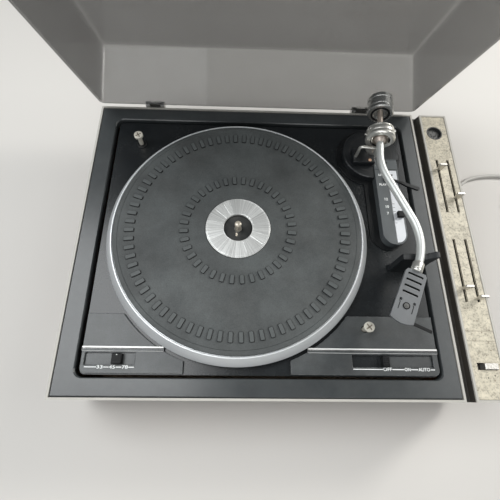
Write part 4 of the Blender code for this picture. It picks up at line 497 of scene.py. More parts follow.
def part_lathe(profile, start, end, steps=HOUSING_STEPS):
    """Turned shape over part of a circle, whose two ends are closed by its profile."""
    radius, height = np.asarray(profile, float).T
    angle = np.linspace(start, end, steps)[:, None]
    points = np.stack([radius * np.cos(angle), radius * np.sin(angle), height + 0 * angle], axis=-1)
    count = len(radius)
    ends = [list(range(count)), list(range((steps - 1) * count, steps * count))[::-1]]
    return points.reshape(-1, 3), grid_faces(steps, count, False, True) + ends


def stroke(points, width, low, high):
    """Line of one width: the path's points stepped half the width to each side, as a plate."""
    points = np.asarray(points, float)
    ahead = np.gradient(points, axis=0)
    ahead /= np.linalg.norm(ahead, axis=1)[:, None]
    side = np.column_stack([-ahead[:, 1], ahead[:, 0]]) * width / 2
    return slab(np.vstack([points + side, (points - side)[::-1]]), low, high)


def round_outline(centre, size, corner, steps):
    """Rectangle with round corners: quarter circles about four centres set in from the corners."""
    half = np.asarray(size, float) / 2 - corner
    angle = np.linspace(0, 1, steps) * math.pi / 2
    arcs = []
    for number, signs in enumerate(((1, 1), (-1, 1), (-1, -1), (1, -1))):
        turned = angle + number * math.pi / 2
        arc = np.column_stack([np.cos(turned), np.sin(turned)]) * corner
        arcs.append(np.asarray(centre) + np.asarray(signs) * half + arc)
    return np.vstack(arcs)


def rounded_block(centre, size, low, high, corner, steps=6):
    """Plate with the round outline."""
    return slab(round_outline(centre, size, corner, steps), low, high)


def bar(size, low, high, corner, chamfer):
    """Bar with the round outline at its foot and edge, and the same drawn in by a chamfer at its top."""
    outline = round_outline((0, 0), size, corner, CORNER_STEPS)
    drawn_in = round_outline((0, 0), np.asarray(size) - 2 * chamfer, corner - chamfer, CORNER_STEPS)
    count = len(outline)
    levels = ((outline, low), (outline, high - chamfer), (drawn_in, high))
    points = np.vstack([np.column_stack([ring, np.full(count, height)]) for ring, height in levels])
    faces = grid_faces(len(levels), count, False, True)
    return points, faces + [list(range(count))[::-1], list(range(2 * count, 3 * count))]


def round_field(across, steps):
    """Radius, angle, x and y of every point on rings of the given radii."""
    r, a = np.meshgrid(across, np.linspace(0, math.tau, steps, endpoint=False))
    return r, a, r * np.cos(a), r * np.sin(a)


def closed_field(x, y, z, centre, floor):
    """Closes a round face of heights with a skirt down to a flat floor."""
    points = np.stack([centre[0] + x, centre[1] + y, z], axis=-1)
    skirt = points[:, -1:].copy()
    skirt[..., 2] = floor
    foot = skirt.copy()
    foot[..., :2] = centre
    points = np.concatenate([points, skirt, foot], axis=1)
    return points.reshape(-1, 3), grid_faces(*points.shape[:2], True)


def ease(value):
    """Smooth step from 0 to 1."""
    value = np.clip(value, 0, 1)
    return value * value * (3 - 2 * value)


def screw_head(radius, height, slot_width, slot_depth):
    """Domed head with a cross slot: the height falls off as the square of the radius, less the slots."""
    across = np.concatenate([np.linspace(0, radius * SCREW_EDGE_SHARE, FINE_STEPS), [radius]])
    r, _, x, y = round_field(across, ROUND_STEPS * 2)
    dome = height * (1 - SCREW_FALL_SHARE * (r / radius) ** 2)
    reach = r < radius * SCREW_SLOT_SHARE
    cut = reach & ((np.abs(x) < slot_width / 2) | (np.abs(y) < slot_width / 2))
    return closed_field(x, y, np.where(cut, dome - slot_depth, dome), (0, 0), -SINK)


def lettering(words, height, low, high, bold=0.0):
    """Generic numbers or words as flat solid letters about the origin."""
    curve = bpy.data.curves.new("letters", "FONT")
    curve.body = words
    curve.size = height
    curve.align_x = "CENTER"
    curve.align_y = "CENTER"
    curve.extrude = (high - low) / 2
    curve.offset = bold
    curve.resolution_u = LETTER_STEPS
    holder = bpy.data.objects.new("letters", curve)
    mesh = bpy.data.meshes.new_from_object(holder)
    points = np.zeros(len(mesh.vertices) * 3)
    mesh.vertices.foreach_get("co", points)
    faces = [list(face.vertices) for face in mesh.polygons]
    bpy.data.objects.remove(holder)
    bpy.data.meshes.remove(mesh)
    return points.reshape(-1, 3) + (0, 0, (low + high) / 2), faces


def moved(shape, place=(0, 0, 0), along=None, turn=0.0):
    """Turns a shape about its own Z axis, stands that axis along a direction and moves it to a place."""
    points, faces = shape
    matrix = Matrix.Rotation(turn, 3, "Z")
    if along is not None:
        matrix = Vector(along).to_track_quat("Z", "Y").to_matrix() @ matrix
    return points @ np.array(matrix).T + np.asarray(place, float), faces


def add_object(name, data):
    obj = bpy.data.objects.new(name, data)
    bpy.context.scene.collection.objects.link(obj)
    return obj


def piece(name, shapes, finish, body):
    """Joins shapes into one closed piece with its faces outwards, which rides on a body."""
    points, faces, count = [], [], 0
    for shape_points, shape_faces in shapes:
        points.append(shape_points)
        faces += [[index + count for index in face] for face in shape_faces]
        count += len(shape_points)
    mesh = bpy.data.meshes.new(name)
    mesh.from_pydata(np.vstack(points).tolist(), [], faces)
    shell = bmesh.new()
    shell.from_mesh(mesh)
    bmesh.ops.remove_doubles(shell, verts=shell.verts, dist=WELD)
    bmesh.ops.recalc_face_normals(shell, faces=shell.faces)
    shell.to_mesh(mesh)
    shell.free()
    mesh.polygons.foreach_set("use_smooth", np.ones(len(mesh.polygons), bool))
    mesh.set_sharp_from_angle(angle=CREASE)
    return dress(add_object(name, mesh), finish, body)


def dress(obj, finish, body):
    """Gives a piece its finish and its body."""
    obj.data.materials.append(bpy.data.materials[finish])
    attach(obj, body)
    return obj


# Shader nodes

def feed(tree, node, values):
    """Fills a node's inputs with numbers, colours or other nodes' outputs."""
    for key, value in values.items():
        if isinstance(value, bpy.types.NodeSocket):
            tree.links.new(value, node.inputs[key])
        else:
            node.inputs[key].default_value = value
    return node


def put(tree, kind, values=None, **settings):
    """Adds a node, sets its properties and fills its inputs."""
    node = tree.nodes.new("ShaderNode" + kind)
    for key, value in settings.items():
        setattr(node, key, value)
    return feed(tree, node, values or {})


def calc(tree, operation, *values):
    return put(tree, "Math", dict(enumerate(values)), operation=operation).outputs[0]


def fit(tree, value, low, high, to_low=0.0, to_high=1.0):
    """Maps a value from one range to another, held within it."""
    return put(tree, "MapRange", {0: value, 1: low, 2: high, 3: to_low, 4: to_high}).outputs[0]


def opaque(colour):
    """A colour with its fourth value, or a socket as it is."""
    return colour if isinstance(colour, bpy.types.NodeSocket) else (*colour[:3], 1.0)


def mix(tree, factor, first, second):
    node = put(tree, "Mix", {0: factor, 6: opaque(first), 7: opaque(second)}, data_type="RGBA")
    return node.outputs[2]


def shade(colour, factor, lift=0.0):
    """A colour made darker or lighter by a factor, held within one."""
    return [min(value * factor + lift, 1.0) for value in colour]


def noise(tree, place, scale, detail, roughness=0.5):
    """Cloudy pattern between 0 and 1."""
    values = {"Vector": place, "Scale": scale, "Detail": detail, "Roughness": roughness}
    return put(tree, "TexNoise", values).outputs[0]


def cells_of(tree, place, scale):
    """Cell pattern: the distance from each cell's middle, and a chance drawn for each cell."""
    cells = put(tree, "TexVoronoi", {"Vector": place, "Scale": scale}).outputs
    return cells["Distance"], put(tree, "TexWhiteNoise", {"Vector": cells["Position"]}).outputs[0]


def raised(tree, height, distance, normal=None):
    """Normal bent by a height pattern whose full depth is a distance."""
    values = {"Height": height, "Distance": distance}
    if normal is not None:
        values["Normal"] = normal
    return put(tree, "Bump", values).outputs[0]


def new_group(name, inputs, outputs):
    """Starts a node group with named sockets and returns its tree, what it is given and what it gives."""
    tree = bpy.data.node_groups.new(name, "ShaderNodeTree")
    for label, kind, default in inputs:
        socket = tree.interface.new_socket(label, in_out="INPUT", socket_type="NodeSocket" + kind)
        if default is not None:
            socket.default_value = default
    for label, kind in outputs:
        tree.interface.new_socket(label, in_out="OUTPUT", socket_type="NodeSocket" + kind)
    return tree, tree.nodes.new("NodeGroupInput").outputs, tree.nodes.new("NodeGroupOutput").inputs


def use_group(tree, name, values):
    node = tree.nodes.new("ShaderNodeGroup")
    node.node_tree = bpy.data.node_groups[name]
    return feed(tree, node, values).outputs


def make_grain_group():
    """Grain of moulded plastic, paint or brushed metal: fine noise with a little of a finer cell pattern."""
    tree, given, gives = new_group("grain", [("Place", "Vector", None), ("Fineness", "Float", 1500.0)],
                                   [("Grain", "Float"), ("Cloud", "Float")])
    place, fineness = given["Place"], given["Fineness"]
    fine = noise(tree, place, fineness, 3.0, 0.6)
    cells = put(tree, "TexVoronoi", {"Vector": place, "Scale": calc(tree, "MULTIPLY", fineness, 1.6)})
    grain = calc(tree, "MULTIPLY_ADD", cells.outputs["Distance"], 0.35, calc(tree, "MULTIPLY", fine, 0.8))
    tree.links.new(grain, gives["Grain"])
    tree.links.new(noise(tree, place, calc(tree, "MULTIPLY", fineness, 0.02), 5.0, 0.65), gives["Cloud"])


def make_dust_group():
    """Dust that lies on faces that look up, thicker in cloudy patches, with separate specks."""
    tree, given, gives = new_group("dust", [("Place", "Vector", None), ("Amount", "Float", 0.2)],
                                   [("Dust", "Float")])
    up = put(tree, "SeparateXYZ", {0: put(tree, "NewGeometry").outputs["Normal"]}).outputs[2]
    film = fit(tree, noise(tree, given["Place"], 28.0, 6.0, 0.7), 0.35, 0.75)
    distance, chance = cells_of(tree, given["Place"], 520.0)
    dots = fit(tree, distance, 0.07, 0.11, 1.0, 0.0)
    dots = calc(tree, "MULTIPLY", dots, calc(tree, "GREATER_THAN", chance, 0.72))
    both = calc(tree, "MULTIPLY", calc(tree, "ADD", film, dots), given["Amount"])
    tree.links.new(calc(tree, "MULTIPLY", both, fit(tree, up, 0.35, 0.9)), gives["Dust"])


def make_wear_group():
    """Rubbed edges, found where a rounded normal leaves the true one, broken up by noise."""
    tree, given, gives = new_group(
        "edge wear", [("Place", "Vector", None), ("Width", "Float", RUB_WIDTH), ("Amount", "Float", 0.5)],
        [("Wear", "Float"), ("Normal", "Vector")])
    rounded = put(tree, "Bevel", {"Radius": given["Width"]}, samples=4).outputs[0]
    true = put(tree, "NewGeometry").outputs["Normal"]
    dot = put(tree, "VectorMath", {0: rounded, 1: true}, operation="DOT_PRODUCT").outputs["Value"]
    patches = fit(tree, noise(tree, given["Place"], 240.0, 4.0), 0.42, 0.62)
    edge = calc(tree, "MULTIPLY", fit(tree, dot, 0.97, 0.80), patches)
    tree.links.new(calc(tree, "MULTIPLY", edge, given["Amount"]), gives["Wear"])
    tree.links.new(rounded, gives["Normal"])


def make_spun_group():
    """Turns a place into turned-metal coordinates: the radius, a little of the angle, and the height."""
    tree, given, gives = new_group("spun", [("Place", "Vector", None)],
                                   [("Place", "Vector"), ("Angle", "Float")])
    x, y, z = put(tree, "SeparateXYZ", {0: given["Place"]}).outputs
    radius = calc(tree, "SQRT", calc(tree, "MULTIPLY_ADD", x, x, calc(tree, "MULTIPLY", y, y)))
    angle = calc(tree, "ARCTAN2", y, x)
    place = put(tree, "CombineXYZ", {0: radius, 1: calc(tree, "MULTIPLY", angle, SPUN_PITCH), 2: z})
    tree.links.new(place.outputs[0], gives["Place"])
    tree.links.new(angle, gives["Angle"])


def start_material(name):
    """Empty material with its shader and its object coordinates."""
    material = bpy.data.materials.new(name)
    material.use_nodes = True
    tree = material.node_tree
    shader = tree.nodes["Principled BSDF"]
    return tree, shader, put(tree, "TexCoord").outputs["Object"]


def centred(tree, place, centre=(0, 0, 0), stretch=(1, 1, 1)):
    """Moves the pattern's origin to a centre, then stretches it."""
    shifted = put(tree, "VectorMath", {0: place, 1: tuple(float(v) for v in centre)}, operation="SUBTRACT")
    return put(tree, "VectorMath", {0: shifted.outputs[0], 1: stretch}, operation="MULTIPLY").outputs[0]


def make_finish(name, colour, roughness, tint=1.0, metallic=0.0, fineness=1500.0, bump=GRAIN_RELIEF,
                mottle=0.15, dust=0.15, wear=0.0, worn=(0.30, 0.30, 0.30), wear_width=RUB_WIDTH,
                stretch=None, about=None, spread=0.10, specular=0.5):
    """General finish: mottled colour with grain, rubbed edges and dust over one shader."""
    tree, shader, place = start_material(name)
    colour = shade(colour, tint)
    pattern = place
    if stretch:
        pattern = centred(tree, place, stretch=stretch)
    if about is not None:
        pattern = use_group(tree, "spun", {"Place": centred(tree, place, about)})["Place"]
    grain = use_group(tree, "grain", {"Place": pattern, "Fineness": fineness})
    cloud = fit(tree, grain["Cloud"], 0.3, 0.7)
    tone = mix(tree, cloud, shade(colour, 1 - mottle), shade(colour, 1 + mottle))
    tone = mix(tree, fit(tree, grain["Grain"], 0.25, 0.85, 0.0, mottle), tone, (0.0, 0.0, 0.0))
    normal = None
    if wear:
        edge = use_group(tree, "edge wear", {"Place": place, "Width": wear_width, "Amount": wear})
        tone = mix(tree, edge["Wear"], tone, worn)
        normal = edge["Normal"]
    film = use_group(tree, "dust", {"Place": place, "Amount": dust})["Dust"]
    rough = fit(tree, grain["Grain"], 0.2, 0.9, roughness - spread / 2, roughness + spread / 2)
    feed(tree, shader, {"Base Color": mix(tree, film, tone, DUST_COLOUR), "Specular IOR Level": specular,
                        "Roughness": calc(tree, "ADD", rough, calc(tree, "MULTIPLY", film, 0.5)),
                        "Normal": raised(tree, grain["Grain"], bump, normal)})
    if metallic:
        feed(tree, shader, {"Metallic": fit(tree, film, 0.0, 1.0, metallic, 0.0)})


def make_champagne(colour):
    """Tarnished champagne plate: blotches that gather in patches, brown specks and pale rubs."""
    tree, shader, place = start_material("champagne")
    blotch = noise(tree, place, 95.0, 7.0, 0.72)
    fine = noise(tree, place, 430.0, 4.0, 0.75)
    tone = mix(tree, fit(tree, blotch, 0.36, 0.66), shade(colour, 0.80), shade(colour, 1.12))
    flecks = calc(tree, "ADD", fine, fit(tree, blotch, 0.35, 0.65, 0.05, -0.05))
    tone = mix(tree, fit(tree, flecks, 0.50, 0.62, 0.0, 0.62), tone, shade(colour, 0.34))
    distance, chance = cells_of(tree, place, 290.0)
    chance = calc(tree, "ADD", chance, fit(tree, blotch, 0.35, 0.6, 0.14, -0.1))
    specks = calc(tree, "MULTIPLY", fit(tree, distance, 0.10, 0.30, 1.0, 0.0),
                  calc(tree, "GREATER_THAN", chance, 0.80))
    tone = mix(tree, calc(tree, "MULTIPLY", specks, 0.8), tone, (0.13, 0.095, 0.06))
    stain = fit(tree, noise(tree, place, 26.0, 8.0, 0.8), 0.56, 0.72, 0.0, 0.45)
    tone = mix(tree, stain, tone, (0.22, 0.18, 0.12))
    edge = use_group(tree, "edge wear", {"Place": place, "Width": PLATE_RUB_WIDTH, "Amount": 0.6})
    height = calc(tree, "MULTIPLY_ADD", fine, 0.6, calc(tree, "MULTIPLY", specks, -0.8))
    feed(tree, shader, {"Base Color": mix(tree, edge["Wear"], tone, (0.75, 0.72, 0.66)),
                        "Roughness": fit(tree, blotch, 0.3, 0.7, 0.50, 0.32), "Specular IOR Level": 0.3,
                        "Normal": raised(tree, height, PLATE_RELIEF, edge["Normal"])})


def make_label_metal(colour, centre):
    """Spun silver whose sectors are painted a little lighter or darker as sheen, crossed by rays of painted
    shade and painted highlight.
    """
    tree, shader, place = start_material("label_silver")
    spun = use_group(tree, "spun", {"Place": centred(tree, place, centre)})
    angle = spun["Angle"]
    grain = use_group(tree, "grain", {"Place": spun["Place"], "Fineness": 2600.0})
    share = calc(tree, "FRACT", calc(tree, "DIVIDE", calc(tree, "ADD", angle, math.tau), math.tau))
    sheen_fan = put(tree, "ValToRGB", {0: share})
    ramp = sheen_fan.color_ramp
    ramp.interpolation = "CONSTANT"
    for number, (start, tone) in enumerate(zip(SECTOR_SHARES, SECTOR_SHEEN)):
        element = ramp.elements.new(start) if number else ramp.elements[0]
        element.position = start
        element.color = (tone, tone, tone, 1.0)
    ramp.elements.remove(ramp.elements[-1])
    tone = put(tree, "Mix", {0: 1.0, 6: sheen_fan.outputs[0], 7: opaque(colour)}, data_type="RGBA",
               blend_type="MULTIPLY").outputs[2]
    tone = mix(tree, fit(tree, grain["Grain"], 0.3, 0.8, 0.0, 0.12), tone, (0.4, 0.4, 0.4))
    round_it = put(tree, "CombineXYZ", {0: calc(tree, "COSINE", angle), 1: calc(tree, "SINE", angle)})
    # Rays of painted shade and painted highlight across the disc, for the sheen of spun metal.
    sheen_rays = noise(tree, round_it.outputs[0], 24.0, 5.0, 0.8)
    tone = mix(tree, fit(tree, sheen_rays, 0.36, 0.56, 0.45, 0.0), tone, (0.20, 0.21, 0.20))
    tone = mix(tree, fit(tree, sheen_rays, 0.56, 0.66, 0.0, 0.6), tone, (1.0, 1.0, 0.98))
    feed(tree, shader, {"Base Color": tone, "Roughness": fit(tree, grain["Cloud"], 0.3, 0.7, 0.30, 0.42),
                        "Metallic": fit(tree, grain["Cloud"], 0.3, 0.7, 0.45, 0.6),
                        "Normal": raised(tree, grain["Grain"], LABEL_RELIEF)})


def make_veneer(colour):
    """Dark wood veneer: rings of a stretched wave broken by pores that run along the grain."""
    tree, shader, place = start_material("veneer")
    along = centred(tree, place, stretch=(0.07, 0.07, 1.0))
    rings = put(tree, "TexWave", {"Vector": along, "Scale": 55.0, "Distortion": 7.0, "Detail": 4.0,
                                  "Detail Scale": 1.6}, bands_direction="Z").outputs["Fac"]
    pores = noise(tree, centred(tree, place, stretch=(0.05, 0.05, 1.0)), 1400.0, 4.0, 0.7)
    tone = mix(tree, rings, shade(colour, 0.55), shade(colour, 1.35))
    tone = mix(tree, fit(tree, pores, 0.52, 0.66, 0.0, 0.6), tone, shade(colour, 0.25))
    edge = use_group(tree, "edge wear", {"Place": place, "Width": WOOD_RUB_WIDTH, "Amount": 0.4})
    hollow = calc(tree, "MULTIPLY", pores, -1.0)
    feed(tree, shader, {"Base Color": mix(tree, edge["Wear"], tone, shade(colour, 1.8)),
                        "Roughness": fit(tree, rings, 0.0, 1.0, 0.34, 0.46), "Coat Weight": 0.25,
                        "Normal": raised(tree, hollow, WOOD_RELIEF, edge["Normal"])})


def make_acrylic(colour, opacity):
    """Smoked clear acrylic: dark see-through sheet whose edges close up, with hairlines and dust."""
    tree, shader, place = start_material("smoked_acrylic")
    hair = noise(tree, centred(tree, place, stretch=(1.0, 0.06, 0.06)), 900.0, 2.0)
    film = use_group(tree, "dust", {"Place": place, "Amount": 0.05})["Dust"]
    facing = put(tree, "LayerWeight", {"Blend": 0.35}).outputs["Facing"]
    closed = calc(tree, "ADD", fit(tree, facing, 0.1, 0.95, opacity, 0.92), calc(tree, "MULTIPLY", film, 0.4))
    feed(tree, shader, {"Base Color": mix(tree, film, colour, (0.5, 0.48, 0.45)), "Alpha": closed,
                        "Roughness": fit(tree, hair, 0.55, 0.75, 0.05, 0.16), "Coat Weight": 0.6})


def make_circuit(colour):
    """Lacquered board with paler tracks: the border between stretched cells, under a varnish."""
    tree, shader, place = start_material("circuit_board")
    cells = put(tree, "TexVoronoi", {"Vector": centred(tree, place, stretch=(1.0, 0.4, 1.0)), "Scale": 220.0},
                feature="DISTANCE_TO_EDGE", distance="EUCLIDEAN").outputs["Distance"]
    tracks = fit(tree, cells, 0.05, 0.09, 1.0, 0.0)
    feed(tree, shader, {"Base Color": mix(tree, tracks, colour, shade(colour, 2.2, 0.02)),
                        "Roughness": fit(tree, cells, 0.0, 0.2, 0.28, 0.45),
                        "Normal": raised(tree, cells, TRACK_RELIEF)})


# Each general finish: its name, its colour or the setting that holds it, its roughness, and further values
FINISHES = (
    ("board_brown", (0.20, 0.14, 0.09), 0.75, dict(fineness=700.0, bump=0.00010, mottle=0.35, wear=0.2)),
    ("rubber", (0.032, 0.032, 0.034), 0.78, dict(fineness=1400.0, bump=0.00004, wear=0.15)),
    ("surround_grey", "surround", 0.24, dict(fineness=2400.0, bump=0.000004, mottle=0.10, dust=0.04,
     wear=0.5, worn=(0.16, 0.165, 0.17), spread=0.06)),
    ("edge_silver", (0.50, 0.485, 0.445), 0.55, dict(metallic=0.10, fineness=2200.0, mottle=0.08, dust=0.06,
     stretch=ALONG_Y, specular=0.2)),
    ("channel_brown", (0.024, 0.020, 0.016), 0.42, dict(fineness=1300.0, bump=0.00002, mottle=0.40,
     dust=0.08, wear=0.3, worn=(0.12, 0.10, 0.08))),
    ("socket_black", (0.040, 0.042, 0.043), 0.38, dict(fineness=1800.0, bump=0.00001, wear=0.5,
     worn=(0.25, 0.25, 0.25))),
    ("knob_metal", (0.60, 0.58, 0.54), 0.34, dict(metallic=0.85, bump=0.000008, mottle=0.12, wear=0.8,
     worn=(0.95, 0.95, 0.94), wear_width=0.0005, stretch=ALONG_X)),
    ("deck_grey", "deck", 0.23, dict(fineness=2600.0, mottle=0.20, dust=0.012, wear=0.2,
     worn=(0.08, 0.08, 0.08), spread=0.06)),
    ("panel_grey", "panel", 0.36, dict(fineness=900.0, bump=0.00003, mottle=0.42, dust=0.05, wear=0.9,
     worn=(0.42, 0.44, 0.45), spread=0.08)),
    ("chrome", (0.80, 0.80, 0.78), 0.22, dict(metallic=0.85, fineness=700.0, bump=0.0, mottle=0.03,
     dust=0.03, spread=0.05)),
    ("gloss_black", (0.006, 0.007, 0.008), 0.30, dict(fineness=1200.0, mottle=0.10, dust=0.02, wear=0.35,
     worn=(0.12, 0.12, 0.13), spread=0.05, specular=0.35)),
    ("lever_black", (0.004, 0.0045, 0.005), 0.50, dict(fineness=1200.0, mottle=0.10, dust=0.01, wear=0.25,
     worn=(0.10, 0.10, 0.11), spread=0.05, specular=0.25)),
    ("deep_black", (0.003, 0.003, 0.003), 0.80, dict(fineness=1200.0, mottle=0.10, dust=0.01,
     specular=0.05)),
    ("warm_steel", (0.78, 0.68, 0.60), 0.36, dict(metallic=0.75, fineness=900.0, bump=0.0, mottle=0.02,
     dust=0.01)),
    # Grey of the painted highlight along one side of each headshell slot.
    ("lip_grey", (0.26, 0.27, 0.275), 0.50, dict(mottle=0.10, dust=0.03)),
    ("strip_silver", (0.86, 0.86, 0.84), 0.42, dict(metallic=0.30, fineness=900.0, bump=0.0, mottle=0.03,
     dust=0.03)),
    ("platter_metal", (0.72, 0.74, 0.75), 0.40, dict(metallic=0.50, fineness=2600.0, bump=0.000003,
     mottle=0.03, dust=0.02, wear=0.6, worn=(0.97, 0.97, 0.97), about=tuple(AXIS), spread=0.06)),
    ("mat_rubber", "mat", 0.60, dict(fineness=800.0, bump=0.00005, mottle=0.40, dust=0.04)),
    # The bars' tops are the mat's rubber painted a little lighter, as a highlight; their walls and feet are
    # the same rubber painted dark, as shade.
    ("bar_rubber", "mat", 0.55, dict(tint=1.05, bump=0.00001, mottle=0.12, dust=0.03)),
    ("wall_rubber", "mat", 0.75, dict(tint=0.14, bump=0.000004, mottle=0.10, dust=0.0)),
    ("centre_black", (0.008, 0.011, 0.012), 0.30, dict(fineness=420.0, bump=0.00003, mottle=0.60,
     dust=0.16)),
    ("spindle_steel", (0.66, 0.60, 0.50), 0.36, dict(metallic=0.55, fineness=2200.0, bump=0.000004,
     mottle=0.08, dust=0.03, wear=0.35, about=tuple(AXIS))),
    ("zinc", (0.56, 0.56, 0.55), 0.38, dict(metallic=1.0, fineness=500.0, bump=0.00001, wear=0.35)),
    ("idler_rubber", (0.045, 0.043, 0.042), 0.70, dict(fineness=1800.0, bump=0.00003, wear=0.35)),
    ("base_black", (0.011, 0.013, 0.015), 0.30, dict(fineness=2400.0, bump=0.000004, dust=0.03, wear=0.5,
     worn=(0.10, 0.10, 0.11))),
    ("module_grey", (0.085, 0.095, 0.100), 0.34, dict(fineness=2400.0, bump=0.000005, mottle=0.08,
     dust=0.03, wear=0.6, worn=(0.35, 0.36, 0.37))),
    ("module_silver", (0.66, 0.68, 0.71), 0.42, dict(metallic=0.25, fineness=2400.0, bump=0.000006,
     mottle=0.06, dust=0.04, wear=0.3, worn=(0.95, 0.95, 0.95), stretch=ALONG_Y)),
    ("satin_housing", (0.76, 0.75, 0.70), 0.30, dict(metallic=0.8, mottle=0.08, dust=0.04, wear=0.6,
     worn=(0.97, 0.97, 0.93), wear_width=0.0004)),
    ("weight_metal", (0.62, 0.62, 0.60), 0.26, dict(metallic=0.9, fineness=1600.0, mottle=0.10, dust=0.05,
     wear=0.6, worn=(0.95, 0.95, 0.93), wear_width=0.0004)),
    ("arm_chrome", (0.72, 0.74, 0.72), 0.44, dict(metallic=0.62, fineness=900.0, bump=0.0, mottle=0.02,
     dust=0.01, spread=0.04)),
    ("shell_grey", (0.135, 0.142, 0.148), 0.46, dict(bump=0.00001, mottle=0.12, dust=0.05, wear=0.6,
     worn=(0.38, 0.40, 0.40))),
    ("laminations", (0.25, 0.22, 0.19), 0.50, dict(metallic=0.6, fineness=2400.0, bump=0.00008, mottle=0.3,
     wear=0.35, stretch=(0.02, 1.0, 0.02))),
    ("lead_grey", "lead", 0.50, dict(fineness=900.0, bump=0.00002, mottle=0.08, dust=0.18)),
    ("plug_black", (0.035, 0.035, 0.037), 0.42, dict(fineness=1300.0, bump=0.00002, wear=0.3)),
    ("white_print", (0.86, 0.88, 0.87), 0.50, dict(fineness=2400.0, bump=0.00001, mottle=0.10, dust=0.10)),
    ("dark_line", (0.030, 0.028, 0.026), 0.55, dict(fineness=2400.0, bump=0.00001, dust=0.10)),
    ("engraving", (0.24, 0.20, 0.15), 0.60, dict(fineness=2400.0, bump=0.00002, mottle=0.3)),
    ("copper", (0.80, 0.52, 0.36), 0.32, dict(metallic=1.0, bump=0.00001, wear=0.4,
     worn=(0.95, 0.75, 0.60))),
    ("socket_metal", (0.095, 0.095, 0.090), 0.42, dict(bump=0.00001, dust=0.04, wear=0.9,
     worn=(0.42, 0.42, 0.40), wear_width=0.0003)),
    ("nickel", (0.82, 0.78, 0.68), 0.36, dict(metallic=0.45, bump=0.000004, mottle=0.12, dust=0.05,
     wear=0.4, worn=(0.95, 0.93, 0.86), wear_width=0.0010)),
)
NODE_FINISHES = {
    "veneer": ("cabinet",),
    "board_brown": ("base_board",),
    "rubber": ("foot_1", "foot_2", "foot_3", "foot_4", "cord_gland"),
    "surround_grey": ("surround",),
    "edge_silver": ("surround_trim", "control_trim"),
    "channel_brown": ("control_tray",),
    "champagne": ("control_plate",),
    "socket_black": ("headphone_socket",),
    "knob_metal": ("slider_knob_1", "slider_knob_2", "slider_knob_3", "slider_knob_4", "mains_lever"),
    "deck_grey": ("deck_plate",),
    "panel_grey": ("left_panel", "right_panel"),
    "strip_silver": ("left_strip", "right_strip"),
    "arm_chrome": ("arm_tube", "lift_rod"),
    "nickel": ("left_transit_screw", "right_transit_screw"),
    "gloss_black": ("screw_grommet", "speed_lever", "start_lever", "arm_base_plate", "cartridge"),
    "lever_black": ("bias_slider", "cue_lever"),
    "platter_metal": ("platter",),
    "mat_rubber": ("mat",),
    "label_silver": ("label_disc",),
    "spindle_steel": ("spindle", "motor_pulley"),
    "zinc": ("motor", "idler_arm", "left_hinge", "right_hinge"),
    "idler_rubber": ("idler_wheel",),
    "base_black": ("arm_turret", "lift_bracket", "arm_rest"),
    "module_grey": ("side_module",),
    "module_silver": ("module_plate",),
    "satin_housing": ("arm_gimbal", "arm_pivot_block", "arm_collar"),
    "weight_metal": ("counterweight",),
    "shell_grey": ("headshell",),
    "smoked_acrylic": ("dust_cover",),
    "circuit_board": ("amplifier_board",),
    "laminations": ("transformer",),
    "lead_grey": ("mains_cord", "mains_cord_coil"),
    "plug_black": ("mains_plug",),
}


def colour_setting(name, description, default):
    return bpy.props.FloatVectorProperty(
        name=name, description=description, subtype="COLOR", default=default, min=0.0, max=1.0)


def power_setting(name, description, default):
    return bpy.props.FloatProperty(name=name, description=description, default=default, unit="POWER")


class RecordPlayerSizes(bpy.types.PropertyGroup):
    """Sizes of the fine parts."""

    print_height: bpy.props.FloatProperty(
        name="Print height", description="How far printed marks stand above their surface",
        default=0.00007, min=0.0, unit="LENGTH")
    bar_height: bpy.props.FloatProperty(
        name="Bar height", description="How far the mat's bars stand above it",
        default=0.0016, min=0.0, unit="LENGTH")
    outer_bars: bpy.props.IntProperty(
        name="Outer bars", description="Bars in the mat's outer ring", default=72, min=3)
    inner_bars: bpy.props.IntProperty(
        name="Inner bars", description="Bars in the mat's inner ring", default=36, min=3)


class RecordPlayerColours(bpy.types.PropertyGroup):
    """Colours of the main finishes."""

    surround: colour_setting("Surround", "Painted frame round the deck", (0.046, 0.051, 0.053))
    panel: colour_setting("Panels", "Raised panels at the front corners", (0.060, 0.066, 0.068))
    deck: colour_setting("Deck", "Deck plate under the platter", (0.012, 0.014, 0.0155))
    champagne: colour_setting("Control plate", "Tarnished champagne plate", (0.60, 0.55, 0.435))
    mat: colour_setting("Mat", "Rubber mat", (0.068, 0.076, 0.076))
    wood: colour_setting("Wood", "Veneer of the cabinet", (0.20, 0.095, 0.045))
    acrylic: colour_setting("Cover", "Smoked cover", (0.016, 0.014, 0.012))
    lead: colour_setting("Lead", "Mains lead", (0.50, 0.49, 0.46))


class RecordPlayerStage(bpy.types.PropertyGroup):
    """Camera, light and floor."""

    lens: bpy.props.FloatProperty(
        name="Lens", description="Focal length that matches the photograph", default=25.89,
        unit="CAMERA")
    floor: colour_setting("Floor", "Plain pale floor", (0.62, 0.60, 0.57))
    window_power: power_setting("Window light", "Power of the large light above and left", 17.0)
    side_power: power_setting("Side light", "Power of the long light above and right", 8.5)
    key_power: power_setting("Key light", "Power of the small light behind and right", 17.0)
    front_power: power_setting("Front light", "Power of the large light in front", 8.5)
    sky: bpy.props.FloatProperty(
        name="Room light", description="Brightness of the room", default=0.13, min=0.0)


